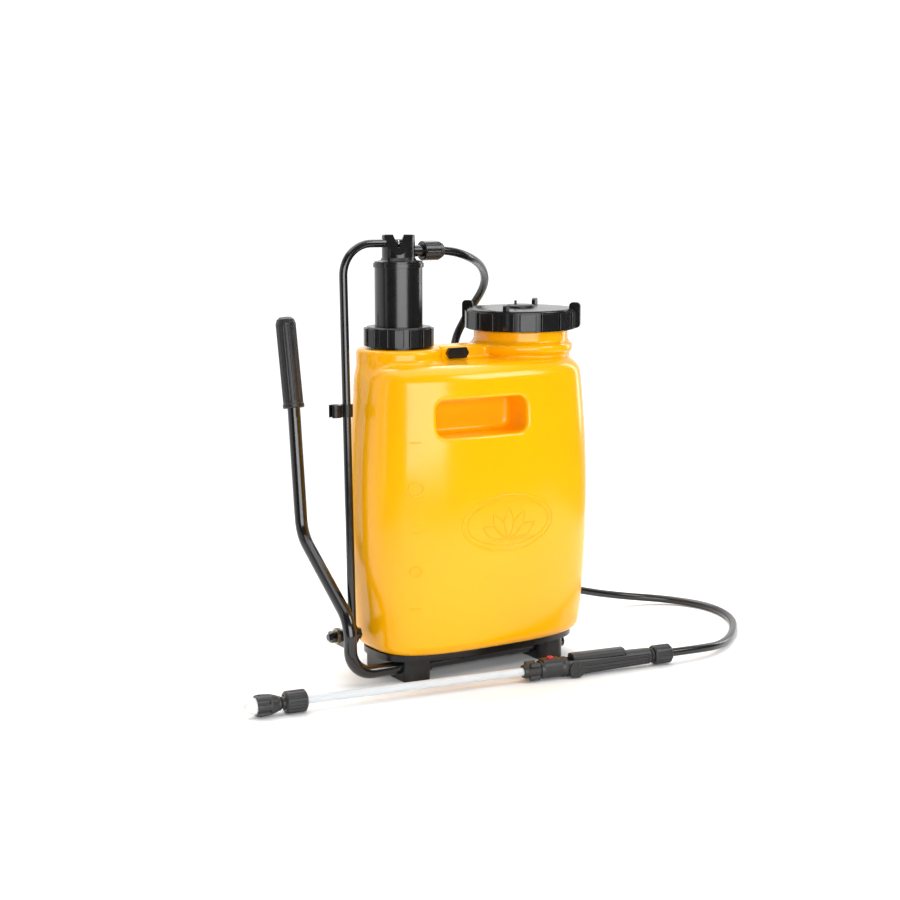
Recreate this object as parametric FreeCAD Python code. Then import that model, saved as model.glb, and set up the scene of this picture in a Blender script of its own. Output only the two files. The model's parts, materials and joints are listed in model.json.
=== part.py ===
import FreeCAD, Part
import math
import os

# Backpack sprayer: blow-moulded tank, piston pump with a moving air chamber, side lever, and a spray wand.
# Millimetres. +Z is up, +X is to the wearer's side with the filler, +Y is towards the wearer's back.
# The origin is on the ground, below the middle of the tank.

os.makedirs("parts", exist_ok=True)
V = FreeCAD.Vector
X_AXIS = V(1, 0, 0)
Y_AXIS = V(0, 1, 0)
Z_AXIS = V(0, 0, 1)

# ---- clearances ---------------------------------------------------------------
RUN = 0.05              # radial clearance of a shaft that turns or slides in its bore
GAP = 0.35              # free gap between pieces that move past each other
FIT = 0.1               # radial gap of a screw or insert in its hole

# ---- tank ---------------------------------------------------------------------
TANK_HALF_X = 154.5     # half width at the fullest height
TANK_HALF_Y = 86.0      # half depth at the fullest height
TANK_PLAN_POWER = 3.0   # superellipse power of the plan outline
TANK_BOTTOM = 34.0
TANK_TOP = 383.0        # top of the shoulder
TANK_FULLEST = 200.0    # height of the fullest section
TANK_BARREL = 7.0       # how much each side draws in 150 mm from the fullest height
BARREL_REACH = 150.0
BOTTOM_ROUND = 14.0
SHOULDER_ROUND = 20.0
WALL = 3.0

BOSS_TOP = 400.0        # top of the pump boss
BOSS_R = 52.0
BRIDGE_TOP = 400.0      # wall between the pump boss and the filler neck
BRIDGE_Y = 18.0
BRIDGE_THICK = 34.0
NECKS_Y = 18.0          # both necks stand on this line

# ---- filler neck, cap and strainer ----------------------------------------------
FILLER_X = 88.0
FILLER_RING_R = 65.5
FILLER_WAIST_R = 62.0
FILLER_GROOVE_R = 59.5
FILLER_MOUTH_TOP = 436.0
FILLER_MOUTH_WALL = 3.5
CAP_R = 70.0
CAP_BOTTOM = 416.0
CAP_TOP = 442.0
CAP_WALL = 2.5
CAP_RIBS = 16
CAP_RIB_HEIGHT = 2.2     # how far the grip ribs stand out
CAP_ROUND = 3.5          # rounding of the cap's top edge
LUG_R = 77.0
LUG_TOP = 450.0
LUG_THICK = 4.5
STRAINER_DEPTH = 92.0
STRAINER_WALL = 1.6

# ---- pump -----------------------------------------------------------------------
PUMP_X = -90.0
PUMP_NECK_R = 36.0
PUMP_NECK_TOP = 418.0
PUMP_CYLINDER_R = 33.0
PUMP_BORE_R = 30.0
PUMP_CYLINDER_BOTTOM = 72.0
PUMP_SEAL_THICK = 1.5
PUMP_FLANGE_THICK = 2.5
PUMP_NUT_R = 42.5
PUMP_NUT_BOTTOM = 402.0
PUMP_NUT_TOP = 426.0
PUMP_NUT_RIBS = 14
CHAMBER_R = 29.0
CHAMBER_WALL = 3.0
CHAMBER_TOP = 502.0
CHAMBER_BOTTOM = 130.0
CHAMBER_FLANGE_R = 30.8
CHAMBER_FLANGE_THICK = 5.0
PISTON_THICK = 15.0
HEAD_R = 20.0
HEAD_TOP = 536.0
HEAD_FACE = 9.5         # distance of each slanted face from the axis, at the top
HEAD_SLANT = 0.44       # how much further out the slanted faces lie for each mm down
HEAD_TURN = -28.0       # degrees the slanted faces are turned from the front
NOTCH_HALF = 7.0
OUTLET_Z = 516.0
OUTLET_R = 7.0
OUTLET_LENGTH = 30.0    # spigot, from the head's side to its end
BALL_R = 6.0

# ---- lever, connecting rod and their pivot -----------------------------------------
LEVER_X = -186.0
LEVER_R = 8.0
LEVER_BORE_R = 6.2
AXLE_Y = -30.0
AXLE_Z = 16.0
AXLE_END_X = 119.0
GRIP_R = 13.4
GRIP_FLUTES = 14
PIVOT_Y = 2.0
PIVOT_Z = 57.0
BOLT_R = 4.0
ROD_X = -166.0
ROD_R = 5.0
ROD_Z = 526.0           # height of the rod's crosswise run through the head
ROD_BEND = 38.0
EYE_R = 13.0
EYE_THICK = 5.0
EYE_FLOAT = 2.6         # free gap round the bolt, taken up over the stroke
CLIP_Z = 329.0
CLIP_HEIGHT = 15.0
LANCE_R = 5.0

# ---- base -------------------------------------------------------------------------
FOOT_WIDE = 37.0
FOOT_LEFT_X = -101.5
FOOT_RIGHT_X = 94.5
FOOT_FRONT = -50.0
FOOT_BACK = 58.0
TRAY_THICK = 8.0
TRAY_HALF_X = 140.0
TRAY_HALF_Y = 64.0
SCREW_R = 2.5
SCREW_LENGTH = 40.0
SCREW_HEAD_Z = 8.0
SCREW_YS = (-6.0, 40.0)

# ---- wand, which lies in front of the tank --------------------------------------------
WAND_TIP = V(-344.0, -71.0, 13.0)
WAND_TURN = -7.458      # degrees from +X, seen from above
WAND_R = 13.0           # largest radius, which rests on the ground
LANCE_START = 60.0
LANCE_END = 368.0
VALVE_START = 372.0
HANDLE_START = 408.0
HANDLE_END = 528.0
WAND_END = 557.5
TRIGGER_TIP = 488.0
KNOB_AT = 418.0
LOCK_AT = 387.0

# ---- hose: chosen points of its route --------------------------------------------------
HOSE_R = 5.25
HOSE_CLIP = V(45.0, 99.0, 300.0)
HOSE_UPPER = [
    V(-39.5, 18, 516),
    V(-19.7, 18, 516),
    V(15.3, 26.6, 507.7),
    V(66.1, 73.3, 492.3),
    V(91.1, 103.7, 466.6),
    V(83.9, 133.4, 431.1),
    V(58, 134.7, 388.6),
    V(45, 99, 350),
    HOSE_CLIP,
]
HOSE_LOWER = [
    HOSE_CLIP,
    V(45, 99, 245),
    V(60, 103, 185),
    V(92, 112, 130),
    V(142, 121, 82),
    V(205, 125, 50),
    V(275, 127, 28),
    V(343, 125, 13),
    V(403, 98, 6.5),
    V(430, 40, 5.4),
    V(412, -30, 5.4),
    V(360, -90, 5.4),
    V(305, -132, 7.5),
    V(255.9, -149.53, 13),
    V(201.3, -142.384, 13),
]

# ---- shoulder straps -------------------------------------------------------------------
STRAP_WIDE = 25.0
STRAP_THICK = 2.4
STRAP_SLACK = 0.4               # free gap round the webbing in a slot
STRAP_Z = 388.5                 # height of the webbing where it leaves the bracket
PAD_WIDE = 42.0
PAD_THICK = 9.0
STRAP_TOPS = (-25.0, 8.0)       # where the straps leave the bracket, along X
STRAP_LEANS = (9.0, -9.0)       # degrees each strap leans outwards on its way down


# ---- helpers -----------------------------------------------------------------------------
def at(x, y, z):
    return V(x, y, z)


def cylinder(radius, start, end):
    """A round bar between two points."""
    return Part.makeCylinder(radius, (end - start).Length, start, end - start)


def ring(outer, inner, start, end):
    return cylinder(outer, start, end).cut(cylinder(inner, start, end))


def upright(radius, x, y, low, high):
    return cylinder(radius, at(x, y, low), at(x, y, high))


def tube(outer, inner, x, y, low, high):
    return upright(outer, x, y, low, high).cut(upright(inner, x, y, low, high))


def box(x0, x1, y0, y1, z0, z1):
    return Part.makeBox(x1 - x0, y1 - y0, z1 - z0, at(x0, y0, z0))


def edges_along(shape, axis):
    """The straight edges of a shape that run along an axis."""
    found = []
    for edge in shape.Edges:
        run = edge.Vertexes[-1].Point - edge.Vertexes[0].Point
        if run.Length > 1e-6 and abs(run.normalize().dot(axis)) > 0.9999:
            found.append(edge)
    return found


def soft_box(x0, x1, y0, y1, z0, z1, radius, axis):
    """A box whose edges along one axis are rounded."""
    block = box(x0, x1, y0, y1, z0, z1)
    return block.makeFillet(radius, edges_along(block, axis))


def turned(outline, x=0.0, y=0.0):
    """A solid of revolution about an upright axis, from (radius, height) points."""
    points = [V(r, 0, z) for r, z in outline]
    face = Part.Face(Part.makePolygon(points + points[:1]))
    solid = face.revolve(V(0, 0, 0), Z_AXIS, 360)
    solid.translate(at(x, y, 0))
    return solid


def spun(shape, count, x=0.0, y=0.0, start=0.0):
    """Copies of a shape spaced evenly round an upright axis."""
    copies = []
    for i in range(count):
        one = shape.copy()
        one.rotate(at(x, y, 0), Z_AXIS, start + 360.0 * i / count)
        copies.append(one)
    return copies


def joined(first, others):
    return first.multiFuse(others).removeSplitter()


def route_wire(points, radii):
    """Straight runs joined by tangent arcs of the given radii at the inner points."""
    edges = []
    last = points[0]
    for i in range(1, len(points) - 1):
        back = (points[i - 1] - points[i]).normalize()
        ahead = (points[i + 1] - points[i]).normalize()
        half_turn = (math.pi - back.getAngle(ahead)) / 2
        reach = radii[i - 1] * math.tan(half_turn)
        start = points[i] + back * reach
        end = points[i] + ahead * reach
        centre_line = (back + ahead).normalize()
        centre = points[i] + centre_line * (radii[i - 1] / math.cos(half_turn))
        middle = centre - centre_line * radii[i - 1]
        if (start - last).Length > 1e-6:
            edges.append(Part.LineSegment(last, start).toShape())
        edges.append(Part.Arc(start, middle, end).toShape())
        last = end
    edges.append(Part.LineSegment(last, points[-1]).toShape())
    return Part.Wire(edges)


def free_radii(points):
    """The largest arc that each corner's two runs allow."""
    radii = []
    for i in range(1, len(points) - 1):
        before = points[i] - points[i - 1]
        after = points[i + 1] - points[i]
        half_turn = before.getAngle(after) / 2
        radii.append(0.45 * min(before.Length, after.Length) / math.tan(half_turn))
    return radii


def round_bar(points, radii, radius):
    """A round section swept along a route."""
    path = route_wire(points, radii)
    along = points[1] - points[0]
    section = Part.Wire(Part.makeCircle(radius, points[0], along))
    return path.makePipeShell([section], True, False), path.Length


def flat_band(points, radii, wide, thick):
    """A flat band, wide along X, swept along a route in the YZ plane."""
    path = route_wire(points, radii)
    along = (points[1] - points[0]).normalize()
    up = along.cross(X_AXIS)
    corners = []
    for across, out in ((-1, -1), (1, -1), (1, 1), (-1, 1)):
        corners.append(points[0] + X_AXIS * (across * wide / 2) + up * (out * thick / 2))
    section = Part.makePolygon(corners + corners[:1])
    return path.makePipeShell([section], True, False)


def wand_placed(shape):
    """Moves a piece drawn along +X from the origin to where the wand lies."""
    placed = shape.copy()
    placed.rotate(V(0, 0, 0), Z_AXIS, WAND_TURN)
    placed.translate(WAND_TIP)
    return placed


def along_x(outline):
    """A solid of revolution about the X axis, from (distance, radius) points."""
    points = [V(u, 0, r) for u, r in outline]
    face = Part.Face(Part.makePolygon(points + points[:1]))
    return face.revolve(V(0, 0, 0), X_AXIS, 360)


def knurled(outer, depth, ribs, low, high, start=0.0):
    """Grooves to be cut along a round nut that is drawn along +X."""
    cutters = []
    groove_r = math.pi * outer / ribs * 0.5
    for i in range(ribs):
        angle = math.radians(start) + 2 * math.pi * i / ribs
        centre = outer + groove_r - depth
        foot = V(low, centre * math.cos(angle), centre * math.sin(angle))
        cutters.append(Part.makeCylinder(groove_r, high - low, foot, X_AXIS))
    return cutters


def save(name, *solids):
    shape = solids[0] if len(solids) == 1 else Part.makeCompound(list(solids))
    if not shape.isValid() or shape.Volume <= 0:
        raise ValueError("bad shape: " + name)
    shape.exportStep("parts/" + name + ".step")
    return shape


# ---- tank shell -----------------------------------------------------------------------------
def tank_half(half, height, inset):
    """Half width of the tank at a height, for a skin that lies inset from the outside."""
    drop = TANK_BARREL * ((height - TANK_FULLEST) / BARREL_REACH) ** 2
    return half - drop - inset


def plan_ring(half_x, half_y, height, count=28):
    """The superellipse outline at one height."""
    points = []
    for i in range(count):
        angle = 2 * math.pi * i / count
        c, s = math.cos(angle), math.sin(angle)
        grow = (abs(c) ** TANK_PLAN_POWER + abs(s) ** TANK_PLAN_POWER) ** (-1 / TANK_PLAN_POWER)
        points.append(V(half_x * c * grow, half_y * s * grow, height))
    curve = Part.BSplineCurve()
    curve.interpolate(Points=points, PeriodicFlag=True)
    return Part.Wire(curve.toShape())


def tank_skin(inset):
    """The rounded barrel of the tank, drawn in by inset on every side."""
    low = TANK_BOTTOM + inset
    high = TANK_TOP - inset
    low_round = BOTTOM_ROUND - inset
    high_round = SHOULDER_ROUND - inset
    stations = []
    turns = (72, 60, 48, 36, 24, 12)
    for turn in turns:
        a = math.radians(turn)
        stations.append((low + low_round * (1 - math.sin(a)), low_round * (1 - math.cos(a))))
    straight_low = low + low_round
    straight_high = high - high_round
    for share in (0.0, 0.02, 0.05, 0.11, 0.22, 0.4, 0.6, 0.78, 0.89, 0.95, 0.98, 1.0):
        stations.append((straight_low + share * (straight_high - straight_low), 0.0))
    for turn in reversed(turns):
        a = math.radians(turn)
        stations.append((straight_high + high_round * math.sin(a), high_round * (1 - math.cos(a))))
    rings = []
    for height, draw_in in stations:
        half_x = tank_half(TANK_HALF_X, height, inset + draw_in)
        half_y = tank_half(TANK_HALF_Y, height, inset + draw_in)
        rings.append(plan_ring(half_x, half_y, height))
    return Part.makeLoft(rings, True, False)


def top_blocks(inset):
    """The pump boss, the bridge and the filler neck that rise from the shoulder."""
    root = TANK_TOP - 40.0
    boss = upright(BOSS_R - inset, PUMP_X, NECKS_Y, root, BOSS_TOP - inset)
    boss = boss.makeFillet(6.0 - inset, [boss.Edges[0]])
    half = BRIDGE_THICK / 2 - inset
    bridge = box(PUMP_X, FILLER_X, BRIDGE_Y - half, BRIDGE_Y + half, root, BRIDGE_TOP - inset)
    neck = turned(filler_outline(inset, root), FILLER_X, NECKS_Y)
    return [boss, bridge, neck]


def filler_outline(inset, root):
    """Half section of the filler neck: shoulder, waist, ring and groove."""
    return [
        (0, root),
        (FILLER_WAIST_R - 18 - inset, root),
        (FILLER_WAIST_R - inset, TANK_TOP - 6),
        (FILLER_WAIST_R - inset, TANK_TOP + 3),
        (FILLER_RING_R - inset, TANK_TOP + 8),
        (FILLER_RING_R - inset, TANK_TOP + 13),
        (FILLER_GROOVE_R - inset, TANK_TOP + 20),
        (FILLER_GROOVE_R - inset, CAP_BOTTOM - inset),
        (0, CAP_BOTTOM - inset),
    ]


RECESS_X0 = -91.5
RECESS_X1 = 32.5
RECESS_Z0 = 300.0
RECESS_Z1 = 344.0
RECESS_BACK = -36.0


def hand_recess(grow):
    """The finger pocket in the front, grown by the wall for its inside skin."""
    pocket = soft_box(
        RECESS_X0 - grow, RECESS_X1 + grow, -TANK_HALF_Y - 20, RECESS_BACK + grow,
        RECESS_Z0 - grow, RECESS_Z1 + grow, 12.0 + grow, Y_AXIS,
    )
    return pocket


def make_tank():
    outside = joined(tank_skin(0.0), top_blocks(0.0)).cut(hand_recess(0.0))
    inside = joined(tank_skin(WALL), top_blocks(WALL)).cut(hand_recess(WALL))
    shell = outside.cut(inside)
    neck = upright(PUMP_NECK_R, PUMP_X, NECKS_Y, BOSS_TOP - 1, PUMP_NECK_TOP)
    mouth = upright(FILLER_GROOVE_R, FILLER_X, NECKS_Y, CAP_BOTTOM - WALL, FILLER_MOUTH_TOP)
    shell = joined(shell, [neck, mouth])
    shell = shell.cut(upright(PUMP_CYLINDER_R + GAP, PUMP_X, NECKS_Y, BOSS_TOP - 12, PUMP_NECK_TOP + 1))
    mouth_r = FILLER_GROOVE_R - FILLER_MOUTH_WALL
    shell = shell.cut(upright(mouth_r, FILLER_X, NECKS_Y, CAP_BOTTOM - 12, FILLER_MOUTH_TOP + 1))
    bosses = []
    holes = []
    for x in (FOOT_LEFT_X, FOOT_RIGHT_X):
        for y in SCREW_YS:
            bosses.append(upright(8.0, x, y, TANK_BOTTOM + WALL / 2, TANK_BOTTOM + 20))
            holes.append(upright(SCREW_R + FIT, x, y, TANK_BOTTOM - 5, TANK_BOTTOM + 16))
    shell = joined(shell, bosses)
    for hole in holes:
        shell = shell.cut(hole)
    return shell, outside


tank, tank_outside = make_tank()
save("tank_shell", tank)


# ---- base: tray, feet and screws ----------------------------------------------------------------
def screw_holes(radius, low, high):
    holes = []
    for x in (FOOT_LEFT_X, FOOT_RIGHT_X):
        for y in SCREW_YS:
            holes.append(upright(radius, x, y, low, high))
    return holes


tray_outline = plan_ring(TRAY_HALF_X, TRAY_HALF_Y, TANK_BOTTOM - TRAY_THICK)
tray_outside = Part.Face(tray_outline).extrude(V(0, 0, TRAY_THICK))


def make_tray():
    hollow = plan_ring(TRAY_HALF_X - 4, TRAY_HALF_Y - 4, TANK_BOTTOM - TRAY_THICK)
    body = tray_outside.cut(Part.Face(hollow).extrude(V(0, 0, TRAY_THICK - 3)))
    for pad in screw_holes(8.0, TANK_BOTTOM - TRAY_THICK, TANK_BOTTOM - 1):
        body = body.fuse(pad)
    for hole in screw_holes(SCREW_R + FIT, 0, TANK_BOTTOM + 1):
        body = body.cut(hole)
    return body.removeSplitter()


def make_foot(x):
    top = TANK_BOTTOM - TRAY_THICK
    half = FOOT_WIDE / 2
    foot = soft_box(x - half, x + half, FOOT_FRONT, FOOT_BACK, 0, top, 11.0, Z_AXIS)
    foot = foot.cut(cylinder(LEVER_R + RUN, at(x - 40, AXLE_Y, AXLE_Z), at(x + 40, AXLE_Y, AXLE_Z)))
    for y in SCREW_YS:
        foot = foot.cut(upright(SCREW_R + FIT, x, y, -1, top + 1))
        foot = foot.cut(upright(2 * SCREW_R + 1, x, y, -1, SCREW_HEAD_Z))
    return foot


def make_screw(x, y):
    head = upright(2 * SCREW_R, x, y, SCREW_HEAD_Z - 3.5, SCREW_HEAD_Z)
    head = head.cut(upright(1.8, x, y, SCREW_HEAD_Z - 3.5, SCREW_HEAD_Z - 1.5))
    shank = upright(SCREW_R, x, y, SCREW_HEAD_Z - 1, SCREW_HEAD_Z + SCREW_LENGTH)
    return head.fuse(shank)


tray = make_tray()
save("base_tray", tray)
save("left_foot", make_foot(FOOT_LEFT_X))
save("right_foot", make_foot(FOOT_RIGHT_X))
save("base_screws", *[make_screw(x, y) for x in (FOOT_LEFT_X, FOOT_RIGHT_X) for y in SCREW_YS])


# ---- fixed part of the pump -------------------------------------------------------------------------
SEAL_TOP = PUMP_NECK_TOP + PUMP_SEAL_THICK
FLANGE_TOP = SEAL_TOP + PUMP_FLANGE_THICK
CYLINDER_FLOOR = PUMP_CYLINDER_BOTTOM + 3.0
FOOT_SEAT_R = 3.6


def make_pump_cylinder():
    body = tube(PUMP_CYLINDER_R, PUMP_BORE_R, PUMP_X, NECKS_Y, PUMP_CYLINDER_BOTTOM, FLANGE_TOP)
    flange = tube(PUMP_NECK_R, PUMP_BORE_R, PUMP_X, NECKS_Y, SEAL_TOP, FLANGE_TOP)
    floor = upright(PUMP_BORE_R + 1, PUMP_X, NECKS_Y, PUMP_CYLINDER_BOTTOM, CYLINDER_FLOOR)
    floor = floor.cut(upright(10.0, PUMP_X, NECKS_Y, PUMP_CYLINDER_BOTTOM - 1, CYLINDER_FLOOR + 1))
    return joined(body, [flange, floor])


def make_foot_valve():
    """Seat and strainer basket screwed into the cylinder's floor."""
    top = CYLINDER_FLOOR
    body = upright(10.0 - RUN, PUMP_X, NECKS_Y, top - 3, top)
    body = body.fuse(upright(14.0, PUMP_X, NECKS_Y, top - 26, top - 3))
    body = body.cut(upright(BALL_R + 2, PUMP_X, NECKS_Y, top - 16, top - 2))
    body = body.cut(upright(FOOT_SEAT_R, PUMP_X, NECKS_Y, top - 27, top - 15))
    body = body.cut(upright(3.0, PUMP_X, NECKS_Y, top - 3, top + 1))
    slot = box(PUMP_X - 15, PUMP_X + 15, NECKS_Y - 1.5, NECKS_Y + 1.5, top - 24, top - 18)
    for one in spun(slot, 2, PUMP_X, NECKS_Y, 45.0):
        body = body.cut(one)
    body = body.cut(spun(slot, 1, PUMP_X, NECKS_Y, 135.0)[0])
    return body


FOOT_BALL_Z = CYLINDER_FLOOR - 16 + math.sqrt(BALL_R ** 2 - FOOT_SEAT_R ** 2) + 0.02
save("pump_cylinder", make_pump_cylinder())
save("pump_neck_seal", tube(PUMP_NECK_R, PUMP_CYLINDER_R + GAP, PUMP_X, NECKS_Y, PUMP_NECK_TOP, SEAL_TOP))
save("foot_valve", make_foot_valve())
save("foot_valve_ball", Part.makeSphere(BALL_R, at(PUMP_X, NECKS_Y, FOOT_BALL_Z)))


def make_pump_nut():
    nut = upright(PUMP_NUT_R - 2.5, PUMP_X, NECKS_Y, PUMP_NUT_BOTTOM, PUMP_NUT_TOP)
    nut = nut.makeChamfer(1.5, [nut.Edges[0]])
    half = math.pi * PUMP_NUT_R / PUMP_NUT_RIBS * 0.62
    rib = soft_box(PUMP_NUT_R - 6, PUMP_NUT_R, -half, half, PUMP_NUT_BOTTOM + 1, PUMP_NUT_TOP - 2, 1.2, Z_AXIS)
    rib.translate(at(PUMP_X, NECKS_Y, 0))
    nut = joined(nut, spun(rib, PUMP_NUT_RIBS, PUMP_X, NECKS_Y, 9.0))
    nut = nut.cut(upright(PUMP_NECK_R + GAP, PUMP_X, NECKS_Y, PUMP_NUT_BOTTOM - 1, FLANGE_TOP + GAP))
    return nut.cut(upright(CHAMBER_R + GAP, PUMP_X, NECKS_Y, PUMP_NUT_BOTTOM, PUMP_NUT_TOP + 1))


save("pump_nut", make_pump_nut())


# ---- moving air chamber, head and piston ---------------------------------------------------------------
CHAMBER_BORE_R = CHAMBER_R - CHAMBER_WALL
HEAD_PLUG = 12.0


def make_chamber():
    body = tube(CHAMBER_R, CHAMBER_BORE_R, PUMP_X, NECKS_Y, CHAMBER_BOTTOM, CHAMBER_TOP)
    low = CHAMBER_TOP - CHAMBER_FLANGE_THICK
    flange = tube(CHAMBER_FLANGE_R, CHAMBER_BORE_R, PUMP_X, NECKS_Y, low, CHAMBER_TOP)
    return body.fuse(flange).removeSplitter()


def make_head():
    """Closes the chamber, carries the rod crosswise and feeds the outlet spigot."""
    base = upright(HEAD_R, PUMP_X, NECKS_Y, CHAMBER_TOP, HEAD_TOP)
    base = base.makeFillet(2.0, [base.Edges[0]])
    skirt = turned(
        [(0, CHAMBER_TOP), (CHAMBER_FLANGE_R - 1.5, CHAMBER_TOP), (CHAMBER_FLANGE_R - 1.5, CHAMBER_TOP + 2),
         (HEAD_R + 2, CHAMBER_TOP + 3.5), (HEAD_R - 1, CHAMBER_TOP + 8), (0, CHAMBER_TOP + 8)],
        PUMP_X, NECKS_Y,
    )
    plug = upright(CHAMBER_BORE_R - RUN, PUMP_X, NECKS_Y, CHAMBER_TOP - HEAD_PLUG, CHAMBER_TOP + 1)
    spigot_root = at(PUMP_X, NECKS_Y, OUTLET_Z)
    spigot_end = spigot_root + X_AXIS * (HEAD_R + OUTLET_LENGTH)
    reach = HEAD_R + 5
    low = HEAD_TOP - (reach - HEAD_FACE) / HEAD_SLANT
    slant = Part.Face(Part.makePolygon([
        at(-reach, -HEAD_FACE, HEAD_TOP), at(-reach, -reach, low), at(-reach, -reach, HEAD_TOP),
        at(-reach, -HEAD_FACE, HEAD_TOP),
    ])).extrude(V(2 * reach, 0, 0))
    slant.translate(at(PUMP_X, NECKS_Y, 0))
    for cutter in spun(slant, 2, PUMP_X, NECKS_Y, HEAD_TURN):
        base = base.cut(cutter)
    notch = Part.Face(Part.makePolygon([
        at(-NOTCH_HALF, -40, HEAD_TOP + 1), at(0, -40, ROD_Z - ROD_R - 1),
        at(NOTCH_HALF, -40, HEAD_TOP + 1), at(-NOTCH_HALF, -40, HEAD_TOP + 1),
    ])).extrude(V(0, 80, 0))
    notch.translate(at(PUMP_X, NECKS_Y, 0))
    head = joined(base, [skirt, plug, cylinder(OUTLET_R, spigot_root, spigot_end)])
    head = head.cut(spun(notch, 1, PUMP_X, NECKS_Y, HEAD_TURN)[0])
    rod_end = at(PUMP_X + HEAD_R - 6, NECKS_Y, ROD_Z)
    head = head.cut(cylinder(ROD_R + RUN, at(PUMP_X - 40, NECKS_Y, ROD_Z), rod_end))
    head = head.cut(cylinder(3.5, spigot_root, spigot_end + X_AXIS))
    well = upright(3.5, PUMP_X, NECKS_Y, CHAMBER_TOP - HEAD_PLUG - 1, OUTLET_Z)
    return head.cut(well)


def make_piston():
    low = CHAMBER_BOTTOM - PISTON_THICK
    piston = upright(PUMP_BORE_R - 0.6, PUMP_X, NECKS_Y, low, CHAMBER_BOTTOM)
    piston = piston.fuse(upright(CHAMBER_BORE_R - RUN, PUMP_X, NECKS_Y, CHAMBER_BOTTOM - 1, CHAMBER_BOTTOM + 14))
    groove = tube(PUMP_BORE_R + 5, PUMP_BORE_R - 4.0, PUMP_X, NECKS_Y, low + 4, low + 10)
    piston = piston.cut(groove)
    piston = piston.cut(upright(BALL_R + 2, PUMP_X, NECKS_Y, low + 5, CHAMBER_BOTTOM + 10))
    piston = piston.cut(upright(FOOT_SEAT_R, PUMP_X, NECKS_Y, low - 1, low + 6))
    return piston.cut(upright(3.0, PUMP_X, NECKS_Y, CHAMBER_BOTTOM + 9, CHAMBER_BOTTOM + 15))


PISTON_LOW = CHAMBER_BOTTOM - PISTON_THICK
PISTON_BALL_Z = PISTON_LOW + 5 + math.sqrt(BALL_R ** 2 - FOOT_SEAT_R ** 2) + 0.02
save("air_chamber", make_chamber())
save("chamber_head", make_head())
save("piston", make_piston())
save("piston_cup", tube(PUMP_BORE_R - RUN, PUMP_BORE_R - 4.0, PUMP_X, NECKS_Y, PISTON_LOW + 4.2, PISTON_LOW + 9.8))
save("piston_ball", Part.makeSphere(BALL_R, at(PUMP_X, NECKS_Y, PISTON_BALL_Z)))


# ---- outlet nut ---------------------------------------------------------------------------------------------
OUTLET_NUT_R = 12.0
OUTLET_NUT_START = PUMP_X + HEAD_R + 12.0
OUTLET_NUT_END = PUMP_X + HEAD_R + OUTLET_LENGTH + 10.0


def make_outlet_nut():
    length = OUTLET_NUT_END - OUTLET_NUT_START
    nut = along_x([(0, 0), (0, OUTLET_NUT_R - 1), (1, OUTLET_NUT_R), (length - 6, OUTLET_NUT_R),
                   (length, OUTLET_NUT_R - 3), (length, 0)])
    for cutter in knurled(OUTLET_NUT_R, 1.6, 8, 3, length - 5):
        nut = nut.cut(cutter)
    neck = PUMP_X + HEAD_R + OUTLET_LENGTH - OUTLET_NUT_START
    nut = nut.cut(cylinder(OUTLET_R + GAP, V(-1, 0, 0), V(neck + GAP, 0, 0)))
    nut = nut.cut(cylinder(HOSE_R + GAP, V(0, 0, 0), V(length + 1, 0, 0)))
    nut.translate(at(OUTLET_NUT_START, NECKS_Y, OUTLET_Z))
    return nut


save("outlet_nut", make_outlet_nut())


# ---- connecting rod ----------------------------------------------------------------------------------------------
ROD_TOP = at(ROD_X, NECKS_Y, ROD_Z)
PIVOT = at(ROD_X, PIVOT_Y, PIVOT_Z)
ROD_END = at(PUMP_X + HEAD_R - 7, NECKS_Y, ROD_Z)


def make_rod():
    up = (ROD_TOP - PIVOT).normalize()
    start = PIVOT + up * (EYE_R - 2.5)
    bar = round_bar([start, ROD_TOP, ROD_END], [ROD_BEND], ROD_R)[0]
    half = X_AXIS * (EYE_THICK / 2)
    eye = cylinder(EYE_R, PIVOT - half, PIVOT + half)
    rod = joined(bar, [eye])
    rod = rod.cut(cylinder(BOLT_R + EYE_FLOAT, PIVOT - half * 4, PIVOT + half * 4))
    pin_hole = cylinder(1.3, at(PUMP_X, NECKS_Y - 10, ROD_Z), at(PUMP_X, NECKS_Y + 10, ROD_Z))
    return rod.cut(spun(pin_hole, 1, PUMP_X, NECKS_Y, HEAD_TURN)[0])


def make_split_pin():
    """Split pin that keeps the rod in the head, seen in the head's notch."""
    shank = cylinder(1.2, at(PUMP_X, NECKS_Y - 8, ROD_Z), at(PUMP_X, NECKS_Y + 9, ROD_Z))
    loop = Part.makeTorus(2.6, 1.0, at(PUMP_X, NECKS_Y - 10.2, ROD_Z), X_AXIS)
    return spun(shank.fuse(loop), 1, PUMP_X, NECKS_Y, HEAD_TURN)[0]


def make_lance_clip():
    """Spring clip on the rod that holds the lance when it is put away."""
    share = (CLIP_Z - PIVOT_Z) / (ROD_Z - PIVOT_Z)
    y = PIVOT_Y + share * (NECKS_Y - PIVOT_Y)
    low = CLIP_Z - CLIP_HEIGHT / 2
    high = CLIP_Z + CLIP_HEIGHT / 2
    holder_x = ROD_X - 15.5
    sleeve = upright(ROD_R + 2.5, ROD_X, y, low, high)
    holder = upright(LANCE_R + 2.5, holder_x, y, low, high)
    web = box(holder_x, ROD_X, y - 3, y + 3, low, high)
    clip = joined(sleeve, [holder, web])
    clip = clip.cut(upright(LANCE_R + 0.2, holder_x, y, low - 1, high + 1))
    mouth = box(holder_x - 12, holder_x, y - LANCE_R + 0.8, y + LANCE_R - 0.8, low - 1, high + 1)
    clip = clip.cut(mouth)
    along = (ROD_TOP - PIVOT).normalize()
    middle = at(ROD_X, y, CLIP_Z)
    return clip.cut(cylinder(ROD_R, middle - along * 20, middle + along * 20))


save("connecting_rod", make_rod())
save("rod_split_pin", make_split_pin())
save("lance_clip", make_lance_clip())


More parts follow.
